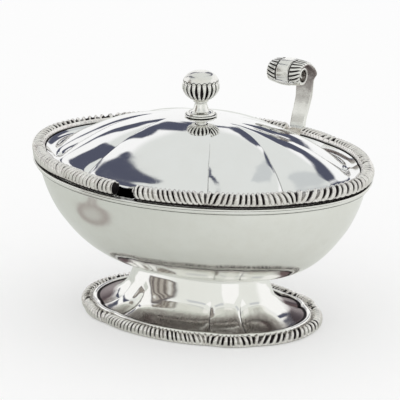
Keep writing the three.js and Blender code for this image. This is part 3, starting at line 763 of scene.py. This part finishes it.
turned_piece("finial_plate", plate_p, 96, ["finial_base_plate"], MAT_SMALL, plate_marks, True, 50)

stem_p = smooth([(5.7, 136.9), (5.4, 137.3), (4.85, 138.6), (4.25, 140.4), (3.95, 142.0), (4.0, 142.7), (4.3, 143.0)], 26)
stem_p = [(2.35, 136.9)] + [tuple(r) for r in stem_p] + [(4.75, 143.1), (5.0, 143.45), (4.95, 143.85), (4.7, 144.1), (4.3, 144.3), (0.02, 144.3)]


def stem_marks(r, z, a):
    return r, step(0.35, 0.05, np.abs(z - 142.95)) * 0.8


turned_piece("finial_stem", stem_p, 72, ["finial_stem"], MAT_SMALL, stem_marks)

LOBES = 20
lobe_p = smooth([(4.6, 144.4), (6.4, 145.0), (8.6, 146.4), (10.4, 148.4), (11.6, 150.6), (12.1, 152.4), (12.05, 153.9), (11.75, 155.0), (11.25, 155.9), (10.5, 156.4)], 44)
lobe_p = [(0.02, 144.4)] + [tuple(r) for r in lobe_p] + [(0.02, 156.4)]


def lobe_ripple(r, z, a):
    p = (a / (2 * math.pi) * LOBES) % 1.0
    w = 0.9 - 0.3 * np.exp(-(((z - 149.8) / 3.2) ** 2))
    q = np.minimum(np.abs(2 * p - 1) / w, 1)
    b = np.sqrt(np.maximum(0, 1 - q**2.4))
    env = step(144.6, 146.6, z) * (1 - step(154.6, 156.4, z) * 0.55)
    d = 1.9 * env * (1 - b)
    out = np.where(r > 2, r - d * np.clip(r / 9, 0, 1), r)
    return out, np.clip((1 - b) * env * 1.7 - 0.1, 0, 1)


turned_piece("finial_lobes", lobe_p, LOBES * 14, ["finial_knob_lobes"], MAT_SMALL, lobe_ripple, False, 60)

cap_p = smooth([(10.6, 155.9), (11.4, 156.3), (11.45, 157.0), (10.9, 158.2), (9.6, 159.9), (7.1, 161.8), (3.7, 163.0), (0.02, 163.3)], 46)
cap_p = [(0.02, 155.9)] + [tuple(r) for r in cap_p]


def cap_ripple(r, z, a):
    p = (a / (2 * math.pi) * LOBES) % 1.0
    b = np.abs(np.sin(math.pi * p))
    low = 1 - step(156.0, 158.2, z)
    # the ribs below end in scallops against the cap
    scallop = np.exp(-(((z - 156.5 - 1.1 * b) / 0.32) ** 2)) * (r > 9)
    return np.where(r > 5, r - 0.35 * low * (1 - b) - 0.12 * scallop, r), np.clip(low * (1 - b) * 0.75 * (r > 9) + 0.7 * scallop, 0, 1)


turned_piece("finial_cap", cap_p, LOBES * 12, ["finial_knob_cap"], MAT_CAP, cap_ripple, False, 50)

# stud with a thread, washer, hexagon nut
stud_p = [(0.02, 127.4), (1.5, 127.4)]
for i in range(24):
    z = 127.6 + i * 0.5
    stud_p += [(1.72, z), (2.0, z + 0.25)]
stud_p += [(1.7, 139.9), (1.7, 140.4), (0.02, 140.4)]
turned_piece("finial_stud", stud_p, 28, ["finial_stud"], MAT_FIXING, None, False, 20)
turned_piece("finial_washer", [(2.35, 131.4), (5.9, 131.4), (6.05, 131.5), (6.05, 132.2), (5.9, 132.35), (2.35, 132.35)], 48,
             ["finial_washer"], MAT_FIXING, None, True)
nut_v = []
for z, s in ((128.2, 0.93), (128.45, 1.0), (131.05, 1.0), (131.35, 0.93)):
    nut_v.append([(4.4 * s * math.cos(math.radians(60 * i)), 4.4 * s * math.sin(math.radians(60 * i)) + SHIFT_Y, z) for i in range(6)])
for z in (131.35, 128.2):
    nut_v.append([(2.1 * math.cos(math.radians(60 * i)), 2.1 * math.sin(math.radians(60 * i)) + SHIFT_Y, z) for i in range(6)])
nut_me = mesh_of("finial_nut_mesh", np.array(nut_v).reshape(-1, 3), grid_faces(6, 6, True))
piece("vis_finial_nut", bevelled(nut_me, 0.12, 2), "lid", ["finial_nut"], MAT_FIXING, 30)

# ------------------------------------------------------------------ hinge

HX, HY, HZ = 19.3, 92.5, 103.5


def across(name, outline, x0, x1):
    """A prism along X from an outline in Y and Z."""
    n = len(outline)
    v = [(x, y + SHIFT_Y, z) for x in (x0, x1) for y, z in outline]
    f = [list(range(n)), list(range(n, 2 * n))[::-1]]
    f += [[i, n + i, n + (i + 1) % n, (i + 1) % n] for i in range(n)]
    return mesh_of(name, v, f)


def barrel(name, x0, x1, r, bore, n=40, round_=0.35):
    """A knuckle along the hinge axis, with rounded rims; bore 0 makes a solid pin."""
    if bore:
        p = [(bore, x0), (r - round_, x0), (r - round_ * 0.3, x0 + round_ * 0.3), (r, x0 + round_), (r, x1 - round_),
             (r - round_ * 0.3, x1 - round_ * 0.3), (r - round_, x1), (bore, x1)]
    else:
        p = [(0.01, x0), (r * 0.5, x0 + 0.05), (r * 0.85, x0 + 0.25), (r, x0 + 0.6), (r, x1 - 0.6),
             (r * 0.85, x1 - 0.25), (r * 0.5, x1 - 0.05), (0.01, x1)]
    a = np.arange(n) / n * 2 * math.pi
    p = np.array(p)
    pts = np.stack([
        np.repeat(p[:, 1:2], n, 1),
        HY + SHIFT_Y + p[:, 0:1] * np.cos(a)[None, :],
        HZ + p[:, 0:1] * np.sin(a)[None, :],
    ], -1)
    return mesh_of(name, pts.reshape(-1, 3), grid_faces(len(p), n, bool(bore)))


def joined(meshes):
    bm = bmesh.new()
    for me in meshes:
        bm.from_mesh(me)
    out = bpy.data.meshes.new("joined")
    bm.to_mesh(out)
    bm.free()
    return out


hx0, hx1, mx0, mx1 = HX - 7, HX + 7, HX - 2.5, HX + 2.5
# leaf: an arched saddle with hollowed flanks, running down to the middle knuckle
leaf_out = [(80.4, 101.8), (88.5, 101.8)] + [(88.5, 105.4), (88.3, 106.4), (87.7, 107.1), (86.6, 107.5), (85.0, 107.65), (83.4, 107.45), (82.0, 106.9), (80.9, 106.0), (80.4, 105.2)]
leaf = bevelled(across("leaf", leaf_out, hx0 + 0.02, hx1 - 0.02), 0.7, 4, 50)
neck = across("neck", [(88.0, 101.9), (91.2, 101.2), (91.4, 105.9), (90.0, 106.5), (88.0, 106.6)], mx0, mx1)
mid = cut(cut(neck, barrel("core", mx0 - 1, mx1 + 1, 2.0, 0), "DIFFERENCE"), barrel("mid", mx0, mx1, 3.4, 1.55), "UNION")
leaf = cut(leaf, mid, "UNION")
piece("vis_lid_hinge_leaf", leaf, "lid", ["lid_hinge_leaf"], MAT_HINGE, 30)

block = bevelled(across("block", [(90.5, 95.9), (94.6, 95.9), (95.2, 96.5), (95.2, 99.4), (90.5, 99.4)], hx0, hx1), 0.4, 3)
arms = None
for i, (x0, x1) in enumerate(((hx0, mx0 - 0.3), (mx1 + 0.3, hx1))):
    arm = across("arm%d" % i, [(90.5, 98.0), (95.2, 98.0), (95.4, 101.5), (95.2, HZ), (89.8, HZ), (90.0, 101.0)], x0, x1)
    arm = cut(arm, barrel("core", x0 - 1, x1 + 1, 2.0, 0), "DIFFERENCE")
    arm = cut(arm, barrel("kn%d" % i, x0, x1, 3.4, 1.55), "UNION")
    block = cut(block, arm, "UNION")
piece("vis_hinge_bracket", block, "bowl", ["bowl_hinge_bracket"], MAT_HINGE, 30)
piece("vis_hinge_pin", barrel("pin", hx0 - 0.6, hx1 + 0.6, 1.45, 0), "bowl", ["hinge_pin"], MAT_HINGE, 40)

# ------------------------------------------------------------------ thumb lever

LX, RY, RZ = 18.0, 76.9, 147.9  # middle of the scroll and the roll's axis
ROLL_HALF, RIB_PITCH = 12.6, 3.1


def outward(pts):
    """Unit normals of a line in Y and Z, to its left when it comes forward over the arch."""
    tn = np.gradient(pts, axis=0)
    tn /= np.linalg.norm(tn, axis=1)[:, None]
    return np.stack([tn[:, 1], -tn[:, 0]], 1)


def run_of(pts):
    return np.concatenate([[0], np.cumsum(np.hypot(*np.diff(pts, axis=0).T))])


# the strap's outer face, and the curl that carries on from it
strap_line = smooth([
    (89.4, 89.4, 107.7), (89.6, 89.6, 109.2), (91.2, 91.2, 114.3), (94.8, 94.8, 121.3), (97.6, 97.6, 128.0), (98.75, 98.75, 135.1), (99.05, 99.05, 139.5),
    (98.6, 98.6, 142.4), (97.0, 97.0, 145.6), (93.4, 93.4, 149.8), (89.6, 89.6, 153.2), (85.5, 85.5, 155.8), (81.5, 81.5, 156.75), (77.4, 77.4, 156.6),
], 330)[:, [0, 2]]
theta = np.concatenate([np.linspace(86.8, 215, 150, endpoint=False), np.linspace(215, 620, 130)])
curl_r = np.interp(theta, [86.8, 150, 215, 270, 330, 390, 450, 540, 620], [8.72, 8.6, 8.6, 8.3, 7.3, 6.2, 5.3, 4.2, 3.5])
curl_line = np.stack([RY + curl_r * np.cos(np.radians(theta)), RZ + curl_r * np.sin(np.radians(theta))], 1)
strap_run = run_of(strap_line)
curl_run = strap_run[-1] + run_of(curl_line)


def scroll_sheet(name, line, run, centre, half, thick, ribs, recess, pull, nx, inner_shade=None):
    """A strip with rounded edges that follows line. centre and half are its middle and half width,
    ribs how strongly it is ribbed, recess the depth of the seat for the band, pull how far the
    strip's edges draw in towards the curl's axis."""
    n = len(line)
    nor = outward(line)
    xs = np.linspace(-1, 1, nx)
    tops, bots, gs = [], [], []
    for k in range(n):
        w, c, th = half[k], centre[k], thick[k]
        # more stations near the edges
        x = w * (xs + 0.08 * np.sin(math.pi * xs))
        x *= w / np.abs(x).max()
        edge = np.sqrt(np.maximum(0, 1 - np.clip((np.abs(x) - (w - 1.0)) / 1.0, 0, 1) ** 2))
        X = c + x
        ax = np.abs(X - LX)
        on = ribs[k]
        ditch = np.exp(-((np.abs(ax - 4.95) / 0.62) ** 2.2)) * min(1.0, on * 1.6)
        side = step(5.5, 6.1, ax)
        ph = (run[k] + 0.42 * ax + 0.35 * np.sin(ax * 0.5)) / RIB_PITCH
        q = np.abs(2 * (ph % 1.0) - 1)
        bump = np.sqrt(np.maximum(0, 1 - np.minimum(q / 0.74, 1) ** 2))
        rib = (1 - bump) * side * on
        near_band = step(4.9, 4.3, ax) if recess[k] > 0 else 0 * ax
        drop = pull[k] * (np.abs(X - LX) / ROLL_HALF) ** 2
        lift = -drop - (1 - edge) * th * 0.5 - 0.95 * ditch - 0.75 * rib * (0.45 + 0.55 * edge) - recess[k] * near_band
        low = -drop - th + (1 - edge) * th * 0.5
        tops.append(np.stack([X, line[k, 0] + nor[k, 0] * lift + SHIFT_Y, line[k, 1] + nor[k, 1] * lift], -1))
        bots.append(np.stack([X, line[k, 0] + nor[k, 0] * low + SHIFT_Y, line[k, 1] + nor[k, 1] * low], -1))
        gs.append(np.clip(1.35 * ditch + 1.6 * rib * (0.35 + 0.65 * step(w, w - 2.2, ax)) - 0.1, 0, 1))
    ring = np.concatenate([np.array(tops), np.array(bots)[:, ::-1]], 1)
    m = ring.shape[1]
    caps = [list(range(m))[::-1], [(n - 1) * m + i for i in range(m)]]
    gr = np.concatenate([np.array(gs), np.zeros((n, nx))], 1)
    # painted shade on the strip's inner face: it darkens towards the curl, unless one even value is given
    darkening_and_shade = np.concatenate([np.zeros((n, nx)), np.repeat(np.interp(run, [0, 14, 24, 34, run[-1]], [0.0, 0.1, 0.5, 0.85, 0.9])[:, None], nx, 1)], 1)
    if inner_shade is not None:
        darkening_and_shade = np.concatenate([np.zeros((n, nx)), np.full((n, nx), inner_shade)], 1)
    faces = [list(map(int, f)) for f in grid_faces(n, m, False)] + caps
    return mesh_of(name, ring.reshape(-1, 3), faces, {"oxide_and_shade": gr, "darkening_and_shade": darkening_and_shade})


lz, ly = strap_line[:, 1], strap_line[:, 0]
rise = np.interp(strap_run, strap_run, np.where(np.arange(len(lz)) < np.argmax(lz), lz, lz.max() + (np.arange(len(lz)) - np.argmax(lz)) * 0.01))
centre = np.interp(rise, [107, 120, 130, 136, 140, 145, 150, 157], [19.3, 19.1, 18.95, 18.8, 18.6, 18.3, 18.1, 18.0])
half = np.interp(rise, [107, 113, 120, 130, 136, 139, 141, 143, 145, 148, 151, 155, 157], [5.7, 5.6, 5.75, 6.25, 6.4, 6.7, 7.7, 9.5, 10.6, 10.9, 11.2, 11.9, 12.5])
for v in (centre, half):
    v[:] = np.convolve(np.pad(v, 7, mode="edge"), np.ones(15) / 15, "valid")
thick = np.interp(strap_run, [0, 10, 34, strap_run[-1]], [3.3, 3.1, 2.7, 2.1])
ribs = step(138.5, 142.5, rise)
pull = 1.7 * step(148, 156.7, rise)
strap = scroll_sheet("lever_strap_mesh", strap_line, strap_run, centre, half, thick, ribs, 0 * ribs, pull, 97)
piece("vis_lever_strap", strap, "lid", ["lever_strap"], MAT_STRAP, 50)

cn = len(theta)
c_half = np.full(cn, ROLL_HALF)
c_half = np.where(theta > 300, np.interp(theta, [300, 620], [ROLL_HALF, ROLL_HALF - 0.9]), c_half)
c_thick = np.interp(theta, [86.8, 215, 270, 620], [2.1, 2.1, 1.9, 1.3])
c_ribs = 1 - step(196, 222, theta)
c_recess = np.where(theta < 262, 0.75, 0.0) * (1 - step(250, 262, theta))
c_pull = 1.7 - 0.7 * step(300, 450, theta)
curl = scroll_sheet("lever_roll_mesh", curl_line, curl_run, np.full(cn, LX), c_half, c_thick, c_ribs, c_recess, c_pull, 97, 0.5)
piece("vis_lever_roll", curl, "lid", ["lever_scroll_roll"], MAT_SMALL, 50)

# the plain band lies in its seat on the curl
bt = np.linspace(87.2, 252, 90)
br = np.interp(bt, [87, 150, 252], [8.74, 8.66, 8.5]) - 0.5 * step(244, 252, bt)
bx = np.linspace(-4.25, 4.25, 25)
be = np.sqrt(np.maximum(0, 1 - np.clip((np.abs(bx) - 3.75) / 0.5, 0, 1) ** 2))
outer = br[:, None] + 0.16 * (1 - (bx / 4.25) ** 2)[None, :] - 0.35 * (1 - be)[None, :]
inner = np.repeat((br - 0.62)[:, None], len(bx), 1)
bring = np.concatenate([outer, inner[:, ::-1]], 1)
bxx = np.concatenate([bx, bx[::-1]])
bp = np.stack([
    np.repeat((LX + bxx)[None, :], len(bt), 0),
    RY + SHIFT_Y + bring * np.cos(np.radians(bt))[:, None],
    RZ + bring * np.sin(np.radians(bt))[:, None],
], -1)
m = bp.shape[1]
faces = [list(map(int, f)) for f in grid_faces(len(bt), m, False)] + [list(range(m))[::-1], [(len(bt) - 1) * m + i for i in range(m)]]
bg = np.zeros(bp.shape[:2])
piece("vis_lever_band", mesh_of("lever_band_mesh", bp.reshape(-1, 3), faces, {"oxide_and_shade": bg}),
      "lid", ["lever_roll_band"], MAT_CAP, 50)

# ------------------------------------------------------------------ floor, light, camera


def flat_material(name, colour, rough=0.9, emit=None):
    m = bpy.data.materials.new(name)
    m.use_nodes = True
    b = m.node_tree.nodes["Principled BSDF"]
    b.inputs["Base Color"].default_value = (*colour, 1)
    b.inputs["Roughness"].default_value = rough
    b.inputs["Specular IOR Level"].default_value = 0.0
    if emit is not None:
        b.inputs["Base Color"].default_value = (0, 0, 0, 1)
        b.inputs["Emission Color"].default_value = (*emit, 1)
        b.inputs["Emission Strength"].default_value = 1.0
    return m


def panel(name, centre, u, v, mat, camera=False, diffuse=False, glossy=True):
    """A flat rectangle: centre, half edge u, half edge v, all in metres."""
    c, u, v = Vector(centre), Vector(u), Vector(v)
    me = bpy.data.meshes.new(name)
    me.from_pydata([c - u - v, c + u - v, c + u + v, c - u + v], [], [[0, 1, 2, 3]])
    me.materials.append(mat)
    ob = bpy.data.objects.new(name, me)
    bpy.context.scene.collection.objects.link(ob)
    ob.visible_camera, ob.visible_diffuse, ob.visible_glossy = camera, diffuse, glossy
    ob.visible_shadow = camera
    ob.visible_transmission = False
    return ob


world = bpy.data.worlds.new("studio")
bpy.context.scene.world = world
world.use_nodes = True
world.node_tree.nodes["Background"].inputs["Color"].default_value = (0.985, 0.985, 0.985, 1)
world.node_tree.nodes["Background"].inputs["Strength"].default_value = 1.0
bpy.context.scene.view_settings.view_transform = "Standard"

paper = flat_material("floor_paper", (0.66, 0.66, 0.66))
pb = paper.node_tree.nodes["Principled BSDF"]
pb.inputs["Emission Color"].default_value = (0.325, 0.325, 0.325, 1)
pb.inputs["Emission Strength"].default_value = 1.0
panel("floor", (0, 0, -0.0002), (3, 0, 0), (0, 3, 0), paper, camera=True, glossy=False)


def lit(name, emission):
    """A material that takes its colour from the mesh: lit by the room, or giving light itself."""
    m = bpy.data.materials.new(name)
    m.use_nodes = True
    nt = m.node_tree
    nt.nodes.clear()
    out = node(nt, "ShaderNodeOutputMaterial")
    em = node(nt, "ShaderNodeEmission" if emission else "ShaderNodeBsdfDiffuse")
    at = node(nt, "ShaderNodeAttribute", attribute_name="light")
    nt.links.new(at.outputs["Color"], em.inputs["Color"])
    nt.links.new(em.outputs[0], out.inputs[0])
    return m


def only_in_silver(name, me, rgb, mat):
    """A stage piece that is seen in reflections alone, coloured by its vertices."""
    col = me.color_attributes.new("light", "FLOAT_COLOR", "POINT")
    col.data.foreach_set("color", np.concatenate([rgb, np.ones((len(rgb), 1))], 1).astype(np.float32).ravel())
    me.materials.append(mat)
    ob = bpy.data.objects.new(name, me)
    bpy.context.scene.collection.objects.link(ob)
    ob.visible_camera = ob.visible_diffuse = ob.visible_shadow = ob.visible_transmission = False


def table():
    """The grey table as the silver sees it: lighter to the right, painted lighter near the bowl against the bowl's
    shadow, with one brown patch beside the bowl.
    """
    ax = np.concatenate([np.linspace(-3000, -500, 12), np.arange(-490, 491, 7.0), np.linspace(500, 3000, 12)])
    X, Y = np.meshgrid(ax, ax)
    x, y = X.ravel(), Y.ravel()
    me = bpy.data.meshes.new("table_mesh")
    me.from_pydata(np.stack([x * MM, y * MM, np.full(len(x), -0.0002)], 1).tolist(), [],
                   grid_faces(len(ax), len(ax), False, False).tolist())
    side = step(-240, 130, x * math.cos(math.radians(33.2)) + y * math.sin(math.radians(33.2)))[:, None]
    rgb = np.array([[0.665, 0.685, 0.65]]) * (1 - side) + np.array([[0.815, 0.83, 0.80]]) * side
    # painted light: lighter near the bowl, to cancel the bowl's shadow on the table
    rgb = rgb * (1 + 0.16 * np.exp(-(x * x + y * y) / 110.0 ** 2))[:, None]
    # the brown patch: a rounded head and a neck that leads away from the bowl
    u = np.array([-0.70, -0.71])
    v = np.array([-0.71, 0.70])
    du = (x + 137) * u[0] + (y + 106) * u[1]
    dv = (x + 137) * v[0] + (y + 106) * v[1]
    r = np.hypot(du / 33, dv / 44)
    head = step(1.15, 0.85, r) * (0.35 + 0.65 * step(0.35, 0.85, r))
    neck = step(16, 11, np.abs(dv + 4)) * step(20, 30, du) * step(118, 96, du)
    neck = neck * (0.55 + 0.45 * step(3, 9, np.abs(dv + 4)))
    foot_ = step(26, 18, np.abs(dv + 4)) * step(7, 4, np.abs(du - 40)) * 0.6
    k = np.clip(np.maximum(np.maximum(head, neck), foot_) * 0.8, 0, 1)[:, None]
    rgb = rgb * (1 - k) + np.array([[0.36, 0.30, 0.29]]) * k
    only_in_silver("table_seen_in_silver", me, rgb, lit("table_seen_in_silver", False))


table()


def card(A, E, corners, soft):
    """1 inside a polygon of corners in degrees, 0 outside, with a soft edge."""
    c = np.array(corners, float)
    inside = np.zeros(A.shape, bool)
    far = np.full(A.shape, 1e9)
    for (x0, y0), (x1, y1) in zip(c, np.roll(c, -1, 0)):
        cross_ = (y0 > E) != (y1 > E)
        with np.errstate(divide="ignore", invalid="ignore"):
            at = (x1 - x0) * (E - y0) / (y1 - y0 if y1 != y0 else 1e-9) + x0
        inside ^= cross_ & (A < at)
        l2 = (x1 - x0) ** 2 + (y1 - y0) ** 2
        t = np.clip(((A - x0) * (x1 - x0) + (E - y0) * (y1 - y0)) / l2, 0, 1)
        far = np.minimum(far, np.hypot(A - x0 - t * (x1 - x0), E - y0 - t * (y1 - y0)))
    return step(-soft, soft, np.where(inside, far, -far))


SLATE = (0.088, 0.095, 0.138)
CARDS = [
    # the gap between the bright sweep behind the bowl and the soft light above it
    ([(24, 13), (20, 18), (15, 26), (9, 28), (5, 31), (0, 32.5), (-5, 33), (-9, 28), (-12, 20), (-15, 15), (-18, 14), (-20, 17), (-23, 20),
      (-30, 27), (-36, 32), (-44, 44), (-41, 49), (-33, 42), (-28, 35), (-24.5, 31), (-22.5, 36), (-22, 41), (-17, 42), (-12, 41),
      (-9, 38), (-5, 36), (0, 38), (5, 42), (9, 43), (13, 39), (16, 35), (20, 37), (24, 35), (24.5, 26)], 1.0, SLATE, 1.0),
    # a dark leaning shape at the left
    ([(26, 10), (30, 18), (34.5, 23), (37, 29), (38, 34), (38, 38), (39.5, 40), (42, 42.5), (44, 44), (49, 49), (58, 55), (69, 62), (82, 70), (82, 64),
      (74, 56), (69, 50), (56, 41), (46, 34), (38, 24), (29, 10)], 1.0, SLATE, 1.0),
    # a grey wall at the right
    ([(-38, 45), (-46, 48), (-54, 58), (-56, 74), (-46, 80), (-42, 74), (-41, 62)], 2.0, (0.50, 0.53, 0.55), 0.6),
    # a brown shape low at the left, with darker strokes in it
    ([(86, 4), (100, 5), (110, 6), (114, 10), (114.5, 18), (111, 26), (104, 34), (95, 41), (84, 43), (73, 39), (80, 26), (84, 12)], 1.0, (0.10, 0.085, 0.085), 0.95),
    ([(88, 6), (100, 7), (109, 8), (112, 12), (112, 18), (108, 25), (101, 32), (92, 38.5), (83, 39), (77, 37), (83, 27), (87, 13)], 0.8, (0.44, 0.41, 0.37), 1.0),
    ([(90, 6), (93, 6), (92, 16), (96, 26), (92, 38), (88, 39), (92, 27), (89, 16)], 0.7, (0.12, 0.10, 0.10), 0.95),
    ([(97, 6), (100, 6), (99, 15), (103, 24), (98, 34), (95, 36), (99, 24), (96, 15)], 0.7, (0.14, 0.12, 0.11), 0.95),
    ([(104, 7), (106, 7), (106, 15), (109, 22), (104, 31), (102, 32), (106, 22), (103, 15)], 0.7, (0.14, 0.12, 0.11), 0.95),
    ([(80, 33), (86, 26), (87, 30), (82, 37)], 0.7, (0.85, 0.86, 0.84), 0.9),
    ([(108, 10), (110.5, 11), (110.5, 17), (108, 21)], 0.7, (0.72, 0.72, 0.69), 0.9),
    # soft grey panels beside the camera
    ([(-150, 24), (-110, 24), (-110, 36), (-150, 36)], 2.0, (0.55, 0.57, 0.60), 0.8),
    ([(124, 24), (160, 24), (160, 36), (124, 36)], 2.0, (0.55, 0.57, 0.60), 0.8),
    # a white panel behind the camera
    ([(162, 0), (182, 0), (182, 26), (162, 26)], 0.6, (1.0, 1.0, 1.0), 1.0),
    ([(-182, 0), (-166, 0), (-166, 26), (-182, 26)], 0.6, (1.0, 1.0, 1.0), 1.0),
]


def studio(radius=5.0):
    """The studio's walls, seen only as reflections. az 0 is behind the bowl, straight away from the
    camera, positive to the left in the picture; el is above the horizon."""
    n_az, n_el = 640, 170
    a = np.arange(n_az) / n_az * 360 - 180
    e = np.linspace(-8, 90, n_el)
    A, E = np.meshgrid(a, e)
    true = np.radians(A + (33.2 - 180))
    x, y, z = np.sin(true) * np.cos(np.radians(E)), -np.cos(true) * np.cos(np.radians(E)), np.sin(np.radians(E))
    v = np.stack([x, y, z], -1).reshape(-1, 3) * radius
    me = bpy.data.meshes.new("studio_walls")
    me.from_pydata(v.tolist(), [], grid_faces(n_el, n_az, False).tolist())
    white, soft_box, near = np.array([1.0, 1.0, 1.0]), np.array([0.78, 0.80, 0.78]), np.array([0.83, 0.845, 0.815])
    k = step(38, 46, E)[..., None]
    rgb = white * (1 - k) + soft_box * k
    k = step(92, 118, np.abs(A))[..., None] * (1 - step(60, 80, E))[..., None]
    rgb = rgb * (1 - k) + near * k
    for corners, soft, colour, strength in CARDS:
        k = (card(A, E, corners, soft) * strength)[..., None]
        rgb = rgb * (1 - k) + np.array(colour) * k
    only_in_silver("studio_walls", me, rgb.reshape(-1, 3), lit("studio_walls", True))


studio()

az, el = math.radians(33.2), math.radians(17.06)
back = Vector((math.sin(az) * math.cos(el), -math.cos(az) * math.cos(el), math.sin(el)))
right = Vector((math.cos(az), math.sin(az), 0))
target = right * (-0.58 * MM) + Vector((0, SHIFT_Y * MM, 76.8 * MM))
cam = bpy.data.cameras.new("camera")
cam.lens, cam.sensor_width = 274.4, 36
cam.clip_start, cam.clip_end = 0.05, 50
cob = bpy.data.objects.new("camera", cam)
bpy.context.scene.collection.objects.link(cob)
cob.location = target + back * 1.974
cob.rotation_mode = "QUATERNION"
cob.rotation_quaternion = (-back).to_track_quat("-Z", "Y")
bpy.context.scene.camera = cob
